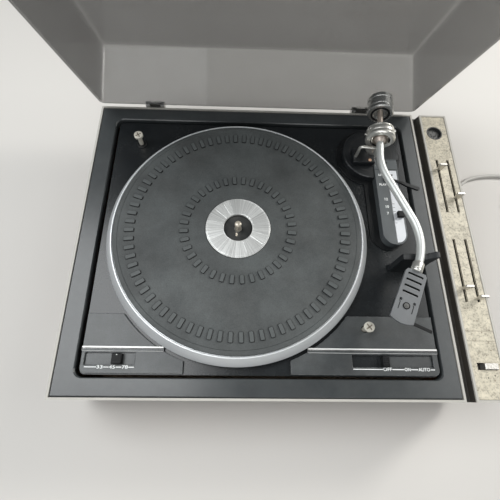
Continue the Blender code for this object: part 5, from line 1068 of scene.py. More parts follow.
class RECORD_PLAYER_OT_stage(bpy.types.Operator):
    """Makes the camera at the photograph's angle, the soft lights and the pale floor."""

    bl_idname = "record_player.stage"
    bl_label = "Stage and camera"

    def execute(self, context):
        stage = context.scene.record_player_stage
        camera = add_object("camera", bpy.data.cameras.new("camera"))
        camera.data.lens = stage.lens
        camera.data.clip_start = CAMERA_NEAR
        view = Vector((math.sin(CAMERA_YAW) * math.cos(CAMERA_PITCH),
                       math.cos(CAMERA_YAW) * math.cos(CAMERA_PITCH), -math.sin(CAMERA_PITCH)))
        level = Vector((math.cos(CAMERA_YAW), -math.sin(CAMERA_YAW), 0))
        upright = level.cross(view)
        right = math.cos(CAMERA_ROLL) * level + math.sin(CAMERA_ROLL) * upright
        above = math.cos(CAMERA_ROLL) * upright - math.sin(CAMERA_ROLL) * level
        turn = Matrix((right, above, -view)).transposed().to_4x4()
        camera.matrix_world = Matrix.Translation(CAMERA_PLACE) @ turn
        context.scene.camera = camera
        context.scene.view_settings.view_transform = "Standard"

        powers = (stage.window_power, stage.side_power, stage.key_power, stage.front_power)
        for (name, place, aim, size, colour), power in zip(LAMPS, powers):
            data = bpy.data.lights.new(name, "AREA")
            data.shape = "RECTANGLE"
            data.size, data.size_y = size
            data.energy = power
            data.color = colour
            lamp = add_object(name, data)
            turn = (Vector(aim) - Vector(place)).to_track_quat("-Z", "Y").to_matrix().to_4x4()
            lamp.matrix_world = Matrix.Translation(place) @ turn

        world = bpy.data.worlds.new("room")
        context.scene.world = world
        world.use_nodes = True
        background = world.node_tree.nodes["Background"]
        background.inputs["Color"].default_value = ROOM_COLOUR
        background.inputs["Strength"].default_value = stage.sky

        tree, shader, place = start_material("floor")
        cloud = noise(tree, place, 3.0, 3.0)
        pale = stage.floor
        feed(tree, shader, {"Base Color": mix(tree, cloud, shade(pale, 0.97), shade(pale, 1.03)),
                            "Roughness": 0.7})
        mesh = bpy.data.meshes.new("floor")
        corners = oblong(-FLOOR_REACH, FLOOR_REACH, -FLOOR_REACH, FLOOR_REACH)
        mesh.from_pydata([(*corner, 0) for corner in corners], [], [(0, 1, 2, 3)])
        mesh.materials.append(bpy.data.materials["floor"])
        floor = add_object("floor", mesh)
        return {"FINISHED"}


class RECORD_PLAYER_OT_finishes(bpy.types.Operator):
    """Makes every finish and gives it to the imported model's solids."""

    bl_idname = "record_player.finishes"
    bl_label = "Finishes"

    def execute(self, context):
        colours = context.scene.record_player_colours
        for make in (make_grain_group, make_dust_group, make_wear_group, make_spun_group):
            make()
        make_champagne(tuple(colours.champagne))
        make_label_metal((0.95, 0.96, 0.94), tuple(AXIS))
        make_veneer(tuple(colours.wood))
        make_acrylic(tuple(colours.acrylic), 0.42)
        make_circuit((0.035, 0.13, 0.055))
        for name, colour, roughness, further in FINISHES:
            if isinstance(colour, str):
                colour = getattr(colours, colour)
            make_finish(name, colour, roughness, **further)
        for finish, names in NODE_FINISHES.items():
            for name in names:
                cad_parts[name].material_slots[0].material = bpy.data.materials[finish]
        return {"FINISHED"}


def smooth_route(points):
    """Smooth curve through points: on each stretch a cubic whose slopes follow the neighbouring points."""
    points = np.asarray(points, float)
    ends = np.vstack([2 * points[0] - points[1], points, 2 * points[-1] - points[-2]])
    before, start, end, after = (ends[index:len(ends) - 3 + index, None] for index in range(4))
    t = np.linspace(0, 1, ROUTE_STEPS, endpoint=False)[None, :, None]
    curve = 0.5 * (2 * start + (end - before) * t + (2 * before - 5 * start + 4 * end - after) * t ** 2
                   + (3 * start - before - 3 * end + after) * t ** 3)
    return np.vstack([curve.reshape(-1, 3), points[-1]])


def coil_route():
    """Flat coil: the radius falls by a pitch a turn to the middle, climbs one layer, and grows again."""
    outer = COIL_MIDDLE_RADIUS + COIL_HALF
    half = COIL_TURNS / 2
    turn = np.linspace(0, COIL_TURNS, COIL_TURNS * COIL_STEPS + 1)
    radius = outer - COIL_PITCH * (half - np.abs(half - turn))
    climb = ease((turn - half) / (2 * COIL_RAMP_SHARE) + 0.5)
    angle = math.pi / 2 - math.tau * turn
    low = LEAD_FLOOR + LEAD_RADIUS
    coil = np.stack([COIL_AT + radius * np.cos(angle), COIL_ROW - outer + radius * np.sin(angle),
                     low + COIL_PITCH * climb], axis=-1)
    return np.vstack([coil, coil[-1] + (COIL_EXIT, 0, 0)])


class RECORD_PLAYER_OT_mains_lead(bpy.types.Operator):
    """Lays the mains lead along its route and coil, with the tie round the coil."""

    bl_idname = "record_player.mains_lead"
    bl_label = "Mains lead"

    def execute(self, context):
        route = smooth_route([LEAD_START, *LEAD_ROUTE])
        route[:, 2] = np.maximum(route[:, 2], LEAD_FLOOR + LEAD_RADIUS)
        route = np.vstack([route, coil_route()]) + at(0, 0, 0)
        curve = bpy.data.curves.new("mains_lead", "CURVE")
        curve.dimensions = "3D"
        curve.bevel_depth = LEAD_RADIUS
        curve.bevel_resolution = LEAD_BEVEL_STEPS
        curve.use_fill_caps = True
        spline = curve.splines.new("POLY")
        spline.points.add(len(route) - 1)
        spline.points.foreach_set("co", np.column_stack([route, np.ones(len(route))]).ravel())
        spline.use_smooth = True
        lead = add_object("mains_lead", curve)
        dress(lead, "lead_grey", "body")
        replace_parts(lead, "mains_cord", "mains_cord_coil")

        outer = COIL_MIDDLE_RADIUS + COIL_HALF + LEAD_RADIUS + TIE_THICKNESS
        inner = COIL_MIDDLE_RADIUS - COIL_HALF - LEAD_RADIUS - TIE_THICKNESS
        centre = at(COIL_AT, COIL_ROW - outer + LEAD_RADIUS + TIE_THICKNESS, 0)
        across = np.linspace(0, math.tau, ROUND_STEPS, endpoint=False)
        reach, rise = (outer - inner) / 2, (top("mains_cord_coil") + TIE_THICKNESS) / 2
        level, steep = (np.sign(wave) * np.abs(wave) ** TIE_SQUARENESS
                        for wave in (np.cos(across), np.sin(across)))
        x = centre[0] - (inner + outer) / 2 - reach * level
        z = np.maximum(rise + rise * steep, TIE_THICKNESS)
        loop = np.column_stack([x, np.full(len(x), centre[1]), z])
        half = TIE_THICKNESS / 2
        section = oblong(-half, half, -TIE_WIDTH / 2, TIE_WIDTH / 2)
        piece("coil_tie", [carried(section, loop, (0, 1, 0))], "plug_black", "body")
        return {"FINISHED"}


class RECORD_PLAYER_OT_strain_relief(bpy.types.Operator):
    """Makes the ribbed rubber sleeve where the lead leaves the cabinet."""

    bl_idname = "record_player.strain_relief"
    bl_label = "Strain relief"

    def execute(self, context):
        low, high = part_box("cord_gland")
        length = high.y - low.y
        share = np.linspace(0, 1, RELIEF_RIBS * RELIEF_STEPS)
        height = RELIEF_FLANGE[1] + (length - RELIEF_FLANGE[1]) * share
        cone = RELIEF_RADII[0] + (RELIEF_RADII[1] - RELIEF_RADII[0]) * share
        wave = np.clip(np.sin(math.pi * RELIEF_RIBS * share) ** 2 * RELIEF_SWELL - RELIEF_LEVEL, 0, 1)
        ribs = RELIEF_DEPTH * wave * (1 - share)
        sleeve = np.column_stack([cone - ribs, height])
        profile = np.vstack([(0, 0), (RELIEF_FLANGE[0] - RELIEF_NECK, 0), (RELIEF_FLANGE[0], RELIEF_NECK),
                             (RELIEF_FLANGE[0], RELIEF_FLANGE[1] - RELIEF_NECK),
                             (RELIEF_FLANGE[0] - RELIEF_NECK, RELIEF_FLANGE[1]), sleeve, (0, length)])
        centre = middle("cord_gland")
        shape = moved(lathe(profile), (centre[0], low.y, centre[2]), (0, 1, 0))
        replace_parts(piece("strain_relief", [shape], "rubber", "body"), "cord_gland")
        return {"FINISHED"}


class RECORD_PLAYER_OT_turned_platter(bpy.types.Operator):
    """Makes the platter as one smooth turned shape, with the bright cap on the spindle."""

    bl_idname = "record_player.turned_platter"
    bl_label = "Platter"

    def execute(self, context):
        low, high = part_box("platter")
        foot = (high.x - low.x) / 2
        rim, crest, seat, soft = PLATTER_RIM, high.z, high.z - PLATTER_SEAT, PLATTER_ROUNDING
        bottom = crest - PLATTER_FLANK
        web = seat - PLATTER_WEB
        bore = SPINDLE_RADIUS + SPINDLE_GAP
        hub_foot = top("deck_plate") + HUB_CLEARANCE
        profile = [(bore, seat), (rim - PLATTER_LIP, seat), (rim - PLATTER_LIP, crest - soft),
                   (rim - PLATTER_LIP + soft, crest), (rim - soft, crest), (rim, crest - soft),
                   (foot - soft / 2, bottom + PLATTER_WALL + soft), (foot, bottom + PLATTER_WALL),
                   (foot, bottom + soft), (foot - soft, bottom), (foot - PLATTER_SKIRT, bottom),
                   (foot - PLATTER_SKIRT, web), (PLATTER_HUB, web), (PLATTER_HUB, hub_foot), (bore, hub_foot)]
        shape = moved(lathe(profile, PLATTER_STEPS, loop=True), at(0, 0, 0))
        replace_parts(piece("turned_platter", [shape], "platter_metal", "platter"), "platter")

        tip = top("spindle")
        reach = SPINDLE_RADIUS + SPINDLE_CAP
        share = np.linspace(0, math.pi / 2, FINE_STEPS // 2)
        dome = np.column_stack([reach * np.sin(share), tip - reach / 2 * (1 - np.cos(share))])
        foot = tip - SPINDLE_CAP_LENGTH
        profile = np.vstack([dome, (reach, foot + SPINDLE_CAP_WAIST), (reach - SPINDLE_CAP, foot), (0, foot)])
        piece("spindle_cap", [moved(lathe(profile), at(0, 0, 0))], "spindle_steel", "body")
        return {"FINISHED"}


class RECORD_PLAYER_OT_ribbed_mat(bpy.types.Operator):
    """Makes the turned rubber mat and the two rings of raised bars on it, their tops painted lighter as a
    highlight and their walls and feet painted dark as shade.
    """

    bl_idname = "record_player.ribbed_mat"
    bl_label = "Ribbed mat"

    def execute(self, context):
        sizes = context.scene.record_player_sizes
        low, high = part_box("mat")
        outer = (high.x - low.x) / 2 - MAT_CLEARANCE
        inner = (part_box("label_disc")[1].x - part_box("label_disc")[0].x) / 2 + CENTRE_GAP
        land = high.z - sizes.bar_height
        swing = np.linspace(0, math.pi / 2, MAT_EDGE_STEPS)
        curl = np.column_stack([np.cos(swing), np.sin(swing)]) * MAT_EDGE
        profile = np.vstack([
            (inner, low.z), (inner, land - MAT_EDGE), (inner + MAT_EDGE, land),
            (MAT_GROOVE_AT - MAT_GROOVE_WIDTH, land), (MAT_GROOVE_AT, land - MAT_GROOVE_WIDTH),
            (MAT_GROOVE_AT + MAT_GROOVE_WIDTH, land), (outer - MAT_EDGE, land - MAT_EDGE) + curl[::-1],
            (outer, low.z)])
        mat = moved(lathe(profile, MAT_STEPS, loop=True), at(0, 0, 0))
        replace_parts(piece("ribbed_mat", [mat], "mat_rubber", "platter"), "mat")
        bars, walls = [], []
        rings = ((OUTER_BARS, sizes.outer_bars), (INNER_BARS, sizes.inner_bars))
        for (radius, length, width), count in rings:
            size = np.array([length, width])
            # Each bar has a paler top of painted highlight, and a wall and a wider foot painted dark as
            # shade.
            cap = bar(size - 2 * BAR_INSET, high.z - BAR_CAP, high.z, BAR_CORNER, BAR_CHAMFER)
            shaded_wall = rounded_block((0, 0), size, land - SINK, high.z - BAR_CAP / 2, BAR_CORNER, CORNER_STEPS)
            foot = rounded_block((0, 0), size + 2 * BAR_SHADOW_FOOT, land - SINK, land + BAR_SHADOW_FOOT_HEIGHT,
                                 BAR_CORNER + BAR_SHADOW_FOOT, CORNER_STEPS)
            for number in range(count):
                turn = math.tau * (number + 0.5) / count
                place = at(radius * math.cos(turn), radius * math.sin(turn), 0)
                bars.append(moved(cap, place, turn=turn))
                walls += [moved(shape, place, turn=turn) for shape in (shaded_wall, foot)]
        piece("mat_bars", bars, "bar_rubber", "platter")
        piece("mat_bar_walls", walls, "wall_rubber", "platter")
        return {"FINISHED"}


class RECORD_PLAYER_OT_label_disc(bpy.types.Operator):
    """Makes the silver centre disc with its scored sectors, the dark recess and its key."""

    bl_idname = "record_player.label_disc"
    bl_label = "Centre disc"

    def execute(self, context):
        low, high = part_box("label_disc")
        outer = (high.x - low.x) / 2
        inner = DISC_HOLE
        ends = ((inner, inner + DISC_BAND), (inner, outer), (outer - DISC_BAND, outer))
        near, between, far = (np.linspace(*pair, DISC_BAND_STEPS) for pair in ends)
        radius = np.concatenate([near, between[2:-2], far])
        r, a, x, y = round_field(radius, DISC_STEPS)
        height = np.full(r.shape, high.z)
        for share in SECTOR_SHARES:
            away = np.abs(np.angle(np.exp(1j * (a - share * math.tau)))) * r
            line = ease(1 - away / SECTOR_LINE_WIDTH)
            height -= DISC_SCORE * line * ((r > inner + DISC_BAND / 2) & (r < outer - DISC_BAND))
        for ring in (inner + DISC_RIMS[0], outer - DISC_RIMS[1]):
            height -= DISC_SCORE * ease(1 - np.abs(r - ring) / DISC_RIM_WIDTH)
        edge = np.clip(1 - np.minimum(r - inner, outer - r) / DISC_EDGE, 0, 1)
        height -= DISC_EDGE * (1 - np.sqrt(1 - edge ** 2))
        points = np.stack([AXIS.x + x, AXIS.y + y, height], axis=-1)
        under = points[:, [-1, 0]].copy()
        under[..., 2] = low.z
        points = np.concatenate([points, under], axis=1)
        shape = (points.reshape(-1, 3), grid_faces(DISC_STEPS, points.shape[1], True, True))
        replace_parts(piece("sector_disc", [shape], "label_silver", "platter"), "label_disc")

        seat = low.z - CENTRE_GAP
        high, rim = seat + CENTRE_THICKNESS, inner - CENTRE_RIM
        floor = [(CENTRE_BORE, seat - SINK), (CENTRE_BORE, high), (rim, high),
                 (rim + CENTRE_RIM / 2, high + 2 * CENTRE_THICKNESS),
                 (inner - SINK, high + 2 * CENTRE_THICKNESS), (inner - SINK, seat - SINK)]
        shape = moved(lathe(floor, ROUND_STEPS * 2, loop=True), at(0, 0, 0))
        piece("centre_recess", [shape], "centre_black", "platter")
        key = rounded_block(at(*KEY_AT, 0)[:2], KEY_SIZE, high - SINK, high + 2 * CENTRE_THICKNESS,
                            KEY_SIZE[0] / 3)
        piece("drive_key", [key], "spindle_steel", "platter")
        return {"FINISHED"}


class RECORD_PLAYER_OT_socket_face(bpy.types.Operator):
    """Makes the face inside the headphone socket, with five contact holes in a half ring and a key slot."""

    bl_idname = "record_player.socket_face"
    bl_label = "Socket face"

    def execute(self, context):
        low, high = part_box("headphone_socket")
        centre = middle("headphone_socket")
        radius = (high.x - low.x) / 2 - SOCKET_WALL - SOCKET_CLEARANCE
        floor = high.z - SOCKET_FLOOR_DEPTH
        r, _, x, y = round_field(np.linspace(0, radius, SOCKET_STEPS // 2), SOCKET_STEPS * 2)
        height = np.full(r.shape, floor + SOCKET_DISC_HEIGHT)
        height -= SOCKET_STEP_DEPTH * ease((r - radius * SOCKET_STEP_SHARE) / SOCKET_STEP_SLOPE)
        for share in SOCKET_HOLE_SHARES:
            turned = share * math.tau - math.pi / 2
            away = np.hypot(x - SOCKET_RING_RADIUS * math.cos(turned),
                            y - SOCKET_RING_RADIUS * math.sin(turned))
            height -= SOCKET_HOLE_DEPTH * ease((SOCKET_HOLE_RADIUS - away) / SOCKET_HOLE_SLOPE + 0.5)
        key = np.maximum(np.abs(x) - SOCKET_KEY_HALVES[0],
                         np.abs(y - radius * SOCKET_KEY_SHARE) - SOCKET_KEY_HALVES[1])
        height -= SOCKET_KEY_DEPTH * ease(-key / SOCKET_HOLE_SLOPE + 0.5)
        shape = closed_field(x, y, height, centre[:2], floor - SINK)
        piece("socket_face", [shape], "socket_metal", "body")
        return {"FINISHED"}


class RECORD_PLAYER_OT_plate_marks(bpy.types.Operator):
    """Puts the scored lines, the painted shade along the edges of the slots and the two small dots on the
    control plate.
    """

    bl_idname = "record_player.plate_marks"
    bl_label = "Control plate marks"

    def execute(self, context):
        proud = context.scene.record_player_sizes.print_height
        low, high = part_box("control_plate")
        base, lift = high.z - SINK, high.z + proud
        shapes = []
        for row in ENGRAVED_ROWS:
            ends = [(x, AXIS.y + row) for x in (low.x + PRINT_WIDTH, high.x - PRINT_WIDTH)]
            shapes.append(stroke(ends, PRINT_WIDTH, base, lift))
        piece("plate_lines", shapes, "engraving", "body")
        # Dark strips of painted shade along both sides of each slot.
        shades = []
        for number, start in enumerate(KNOB_STARTS, 1):
            column, row, _ = middle("slider_knob_%d" % number)
            for side in (-1, 1):
                edge = column + side * (SLOT_HALF + SLOT_SHADE / 2)
                ends = [(edge, row - start + reach) for reach in (-SLOT_REACH, SLOT_REACH)]
                shades.append(stroke(ends, SLOT_SHADE, base, lift))
        piece("slot_edges", shades, "deep_black", "body")
        dots = [moved(disc(PLATE_DOT_RADIUS, base, lift), at(x, y, 0)) for x, y in PLATE_DOTS]
        piece("plate_dots", dots, "dark_line", "body")
        return {"FINISHED"}


class RECORD_PLAYER_OT_window_plates(bpy.types.Operator):
    """Fits the windows of both panels: their floors in front of the slit, and the print."""

    bl_idname = "record_player.window_plates"
    bl_label = "Lever windows"

    def execute(self, context):
        proud = context.scene.record_player_sizes.print_height
        self.floors(LEFT_WINDOW, "speed", "left_panel")
        self.floors((START_PLATE_LEFT, RIGHT_WINDOW[1]), "start", "right_panel")
        surface = top("left_panel")
        for name, node, scale, ends in (("speed_scale", "left_panel", SPEED_SCALE, SPEED_ENDS),
                                        ("start_scale", "right_panel", START_SCALE, START_ENDS)):
            marks = self.scale(scale, ends, surface - SINK, surface + proud)
            piece(name, marks, "white_print", "body")
        return {"FINISHED"}

    def floors(self, window, name, node):
        """Thin plate in front of the slit that a lever's stem slides in."""
        deck = top("deck_plate")
        left, right = AXIS.x + window[0] + WINDOW_EDGE, AXIS.x + window[1] - WINDOW_EDGE
        front, back = AXIS.y + WINDOW_ROWS[0] + WINDOW_EDGE, AXIS.y + WINDOW_ROWS[1] - BACK_SLIT
        plate = slab(oblong(left, right, front, back), deck - SINK, deck + WINDOW_FLOOR)
        piece(name + "_window_floor", [plate], "panel_grey", "body")

    def scale(self, marks, ends, low, high):
        """Line broken at each word, whose share of the line follows from its letters."""
        row = AXIS.y + SCALE_ROW
        shapes = []

        def line(start, end):
            shapes.append(stroke([(AXIS.x + start, row), (AXIS.x + end, row)], SCALE_WIDTH, low, high))

        start = ends[0]
        for place, word in marks:
            width = len(word) * SCALE_LETTER_WIDTH
            gap = width / 2 + WORD_MARGIN
            line(start, place - gap)
            start = place + gap
            points, faces = lettering(word, SCALE_LETTER, low, high, SCALE_BOLD)
            stretch = width / (points[:, 0].max() - points[:, 0].min())
            shapes.append(moved((points * (stretch, 1, 1), faces), (AXIS.x + place, row, 0)))
        line(start, ends[1])
        return shapes


class RECORD_PLAYER_OT_lever_ribs(bpy.types.Operator):
    """Makes the two front levers with their stems and finger ribs, and the bright dot on the speed lever."""

    bl_idname = "record_player.lever_ribs"
    bl_label = "Front levers"

    def execute(self, context):
        floor = top("deck_plate") + WINDOW_FLOOR
        for name in ("speed_lever", "start_lever"):
            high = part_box(name)[1]
            centre = middle(name)
            width, depth = 2 * (high.x - centre[0]), 2 * (high.y - centre[1])
            block = bar((width, depth), floor + STEM_GAP, high.z, LEVER_CORNER, LEVER_CHAMFER)
            shapes = [moved(block, (centre[0], centre[1], 0))]
            stem = high.y + (STEM_DEPTH - SINK) / 2
            shapes.append(rounded_block((centre[0], stem), (2 * STEM_HALF, STEM_DEPTH + SINK),
                                        top("deck_plate") + STEM_GAP, high.z - 2 * LEVER_CHAMFER, STEM_GAP))
            rows = np.linspace(-depth / 2, depth / 2, LEVER_RIBS + 2)[1:-1]
            for row in rows:
                size = (width - 2 * LEVER_CORNER, LEVER_RIB_WIDTH)
                shapes.append(rounded_block((centre[0], centre[1] + row), size, high.z - SINK,
                                            high.z + LEVER_RIB_HEIGHT, LEVER_RIB_WIDTH / 3))
            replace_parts(piece(name + "_body", shapes, "lever_black", name), name)
        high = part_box("speed_lever")[1]
        dot = lathe([(0, -SINK), (LEVER_DOT, -SINK), (LEVER_DOT / 2, LEVER_RIB_HEIGHT),
                     (0, LEVER_RIB_HEIGHT)], FINE_STEPS)
        place = (middle("speed_lever")[0], high.y - LEVER_DOT_IN, high.z)
        piece("speed_lever_dot", [moved(dot, place)], "white_print", "speed_lever")
        return {"FINISHED"}


class RECORD_PLAYER_OT_strip_grooves(bpy.types.Operator):
    """Lays the dark groove and the grey band along each silver strip."""

    bl_idname = "record_player.strip_grooves"
    bl_label = "Strip grooves"

    def execute(self, context):
        proud = context.scene.record_player_sizes.print_height
        for name in ("left_strip", "right_strip"):
            low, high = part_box(name)
            for part, shares, finish in (("_groove", STRIP_LINE_SHARES, "dark_line"),
                                         ("_band", STRIP_BAND_SHARES, "panel_grey")):
                front, back = (low.y + (high.y - low.y) * share for share in shares)
                shape = slab(oblong(low.x, high.x, front, back), high.z - SINK, high.z + proud)
                piece(name + part, [shape], finish, "body")
        return {"FINISHED"}


class RECORD_PLAYER_OT_transit_screws(bpy.types.Operator):
    """Puts a domed head on each transit screw, its cross slot filled dark with painted shade, and a smooth
    sleeve round its stem.
    """

    bl_idname = "record_player.transit_screws"
    bl_label = "Transit screws"

    def execute(self, context):
        shapes, cross_shades = [], []
        for name in ("left_transit_screw", "right_transit_screw"):
            low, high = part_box(name)
            x, y, _ = middle(name)
            reach = (high.x - low.x) / 2 + SINK
            cut = TRANSIT_HEAD_RISE * TRANSIT_CUT_SHARE
            head = screw_head(reach, TRANSIT_HEAD_RISE, TRANSIT_SLOT, cut)
            shapes.append(moved(head, (x, y, high.z), turn=TRANSIT_TURN))
            skirt = high.z - TRANSIT_HEAD_HEIGHT
            foot = top("deck_plate") + TRANSIT_FOOT
            sleeve = [(0, high.z), (reach, high.z), (reach, skirt + TRANSIT_ROUNDING),
                      (reach - TRANSIT_ROUNDING, skirt), (TRANSIT_STEM, skirt - SINK),
                      (TRANSIT_STEM, foot), (0, foot)]
            shapes.append(moved(lathe(sleeve), (x, y, 0)))
            # The cross slots are filled with a dark cross of painted shade.
            length = reach * TRANSIT_CROSS_SHARE
            for turn in (TRANSIT_TURN, TRANSIT_TURN + math.pi / 2):
                line = rounded_block((0, 0), (2 * length, TRANSIT_SLOT), -SINK,
                                     TRANSIT_RISE_SHARE * TRANSIT_HEAD_RISE, TRANSIT_ROUNDING, CORNER_STEPS)
                cross_shades.append(moved(line, (x, y, high.z), turn=turn))
        piece("transit_heads", shapes, "nickel", "body")
        piece("transit_crosses", cross_shades, "engraving", "body")
        return {"FINISHED"}


class RECORD_PLAYER_OT_module_marks(bpy.types.Operator):
    """Puts the print, seams, holes painted as dark discs of shade, screw and lines on the arm's side module,
    bracket and turret.
    """

    bl_idname = "record_player.module_marks"
    bl_label = "Arm base marks"

    def execute(self, context):
        proud = context.scene.record_player_sizes.print_height
        low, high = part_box("side_module")
        base, lift = high.z - SINK, high.z + proud
        seams = [stroke([(low.x, AXIS.y + row), (high.x, AXIS.y + row)], SEAM_WIDTH, base, lift)
                 for row in SEAM_ROWS]
        # The two holes are dark discs of painted shade.
        dots = [moved(disc(radius, base, lift), at(*place, 0))
                for place, radius in ((MODULE_HOLE, MODULE_HOLE_RADIUS), (PLATE_HOLE, PLATE_HOLE_RADIUS))]
        piece("module_seams", seams + dots, "deep_black", "body")

        marks = [moved(lettering(word, WORD_LETTER, base, lift, MODULE_BOLD), at(x, y, 0))
                 for x, y, word in MODULE_WORDS]
        for row, number in MODULE_NUMBERS:
            letters = lettering(number, MODULE_LETTER, base, lift, MODULE_BOLD)
            marks.append(moved(letters, at(MODULE_NUMBER_COLUMN, row, 0)))
        piece("module_print", marks, "white_print", "body")

        plate_low, plate_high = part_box("module_plate")
        columns = (plate_low.x + WINDOW_EDGE, plate_low.x + BIAS_TICK_WIDTH)
        ticks = [stroke([(x, AXIS.y + row) for x in columns], PRINT_WIDTH, plate_high.z - SINK,
                        plate_high.z + proud) for row in BIAS_SCALE_ROWS]
        piece("bias_ticks", ticks, "dark_line", "body")

        bracket = top("lift_bracket")
        head = screw_head(COPPER_SCREW_RADIUS, SCREW_HEAD_HEIGHT, PRINT_WIDTH, SCREW_HEAD_HEIGHT / 2)
        head = moved(head, at(*COPPER_SCREW_AT, bracket))
        piece("bracket_screw", [head], "copper", "body")
        columns = (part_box("lift_bracket")[0].x + BRACKET_GROOVE_IN, AXIS.x + BRACKET_GROOVE_END)
        groove = stroke([(x, AXIS.y + BRACKET_GROOVE_ROW) for x in columns], PRINT_WIDTH,
                        bracket - SINK, bracket + proud)
        piece("bracket_groove", [groove], "dark_line", "body")
        turret = top("arm_turret")
        ring = lathe(band(*TURRET_RING, turret - SINK, turret + proud), ROUND_STEPS * 2, loop=True)
        piece("turret_ring", [moved(ring, at(*PIVOT, 0))], "dark_line", "body")
        return {"FINISHED"}


def arm_heads():
    """Level directions of the arm's three runs, each turned from straight ahead by its angle."""
    return [np.array([-math.sin(turn), -math.cos(turn), 0.0]) for turn in ARM_TURNS]


def arm_corners():
    """The pivot, the arm's two corners and its joint with the headshell, run after run."""
    corners = [at(*PIVOT, ARM_HEIGHT)]
    for head, run in zip(arm_heads(), ARM_RUNS):
        corners.append(corners[-1] + head * run)
    return corners


def on_arm(shape):
    """Stands a turned shape along the arm's first run, its origin at the pivot and its Y upwards."""
    points, faces = shape
    ahead = arm_heads()[0]
    side = np.array([-ahead[1], ahead[0], 0.0])
    upward = np.array([0.0, 0.0, 1.0])
    return points @ np.array([side, upward, ahead]) + arm_corners()[0], faces


class RECORD_PLAYER_OT_arm_metal(bpy.types.Operator):
    """Makes the arm's curved tube, its pivot cone and the collar that holds the headshell."""

    bl_idname = "record_player.arm_metal"
    bl_label = "Arm tube and collar"

    def execute(self, context):
        heads, corners = arm_heads(), arm_corners()
        route = np.vstack([corners[0] + heads[0] * TUBE_START,
                           fillet(corners[1], heads[0], heads[1], ARM_BENDS[0]),
                           fillet(corners[2], heads[1], heads[2], ARM_BENDS[1]),
                           corners[3] - heads[2] * SPINDLE_GAP])
        arm = tube(route, ARM_RADIUS, (0, 0, 1), ROUND_STEPS)
        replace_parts(piece("curved_tube", [arm], "arm_chrome", "tonearm"), "arm_tube")
        collar = moved(lathe(COLLAR_PROFILE), corners[3], heads[2])
        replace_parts(piece("shell_collar", [collar], "satin_housing", "tonearm"), "arm_collar")
        cone = on_arm(lathe(CONE_PROFILE))
        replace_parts(piece("pivot_cone", [cone], "warm_steel", "tonearm"),
                    "arm_pivot_block")
        return {"FINISHED"}


class RECORD_PLAYER_OT_bearing_housing(bpy.types.Operator):
    """Makes the banded bearing housing on its column, with pivot pins, a dark bore ring and side screws."""

    bl_idname = "record_player.bearing_housing"
    bl_label = "Bearing housing"

    def execute(self, context):
        pivot = arm_corners()[0]
        short = [(radius, min(height, HOUSING_SET_BACK)) for radius, height in HOUSING_PROFILE]
        shapes = [on_arm(part_lathe(HOUSING_PROFILE, *HOUSING_ARC)),
                  on_arm(part_lathe(short, *HOUSING_RELIEF))]
        column = disc(COLUMN_RADIUS, COLUMN_FOOT, COLUMN_TOP, ROUND_STEPS)
        shapes.append(moved(column, at(*PIVOT, 0)))
        side = np.cross(arm_heads()[0], (0, 0, 1))
        pin = disc(PIVOT_PIN_RADIUS, *PIVOT_PIN_SPAN)
        for out in (side, -side):
            shapes.append(moved(pin, pivot, out))
        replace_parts(piece("banded_housing", shapes, "satin_housing", "arm_yoke"), "arm_gimbal")
        inner, outer, front = BORE_RING
        ring = part_lathe(band(inner, outer, front - BORE_RING_DEPTH, front), *HOUSING_ARC)
        piece("bore_ring", [on_arm(ring)], "gloss_black", "arm_yoke")
        screws = []
        for angle in SIDE_SCREW_ANGLES:
            out = -side * math.sin(angle) + np.array([0, 0, math.cos(angle)])
            head = screw_head(SIDE_SCREW_RADIUS, SIDE_SCREW_LENGTH, PRINT_WIDTH, SIDE_SCREW_LENGTH / 2)
            reach = max(radius for radius, height in HOUSING_PROFILE) - SIDE_SCREW_LENGTH / 2
            screws.append(moved(head, pivot + arm_heads()[0] * SIDE_SCREW_PLACE + out * reach, out))
        piece("housing_screws", screws, "chrome", "arm_yoke")
        return {"FINISHED"}


class RECORD_PLAYER_OT_lift_crank(bpy.types.Operator):
    """Makes the bent lift rod with its turned bands."""

    bl_idname = "record_player.lift_crank"
    bl_label = "Lift rod"

    def execute(self, context):
        height = ARM_HEIGHT - ARM_RADIUS - ROD_REST_GAP - ROD_RADIUS
        foot, corner, end = at(*ROD_LEG, ROD_FOOT), at(*ROD_LEG, height), at(*ROD_END, height)
        reach = (end - corner) / np.linalg.norm(end - corner)
        upward = np.array([0.0, 0.0, 1.0])
        route = np.vstack([foot, fillet(corner, upward, reach, ROD_BEND, FINE_STEPS), end])
        rod = tube(route, ROD_RADIUS, np.cross(upward, reach))
        bands = []
        for share in ROD_BAND_SHARES:
            ring = disc(ROD_RADIUS + ROD_BAND_PROUD, 0, ROD_BAND_WIDTH, ROUND_STEPS)
            bands.append(moved(ring, corner + (end - corner) * share, reach))
        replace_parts(piece("lift_crank", [rod, *bands], "satin_housing", "lift_rod"), "lift_rod")
        return {"FINISHED"}


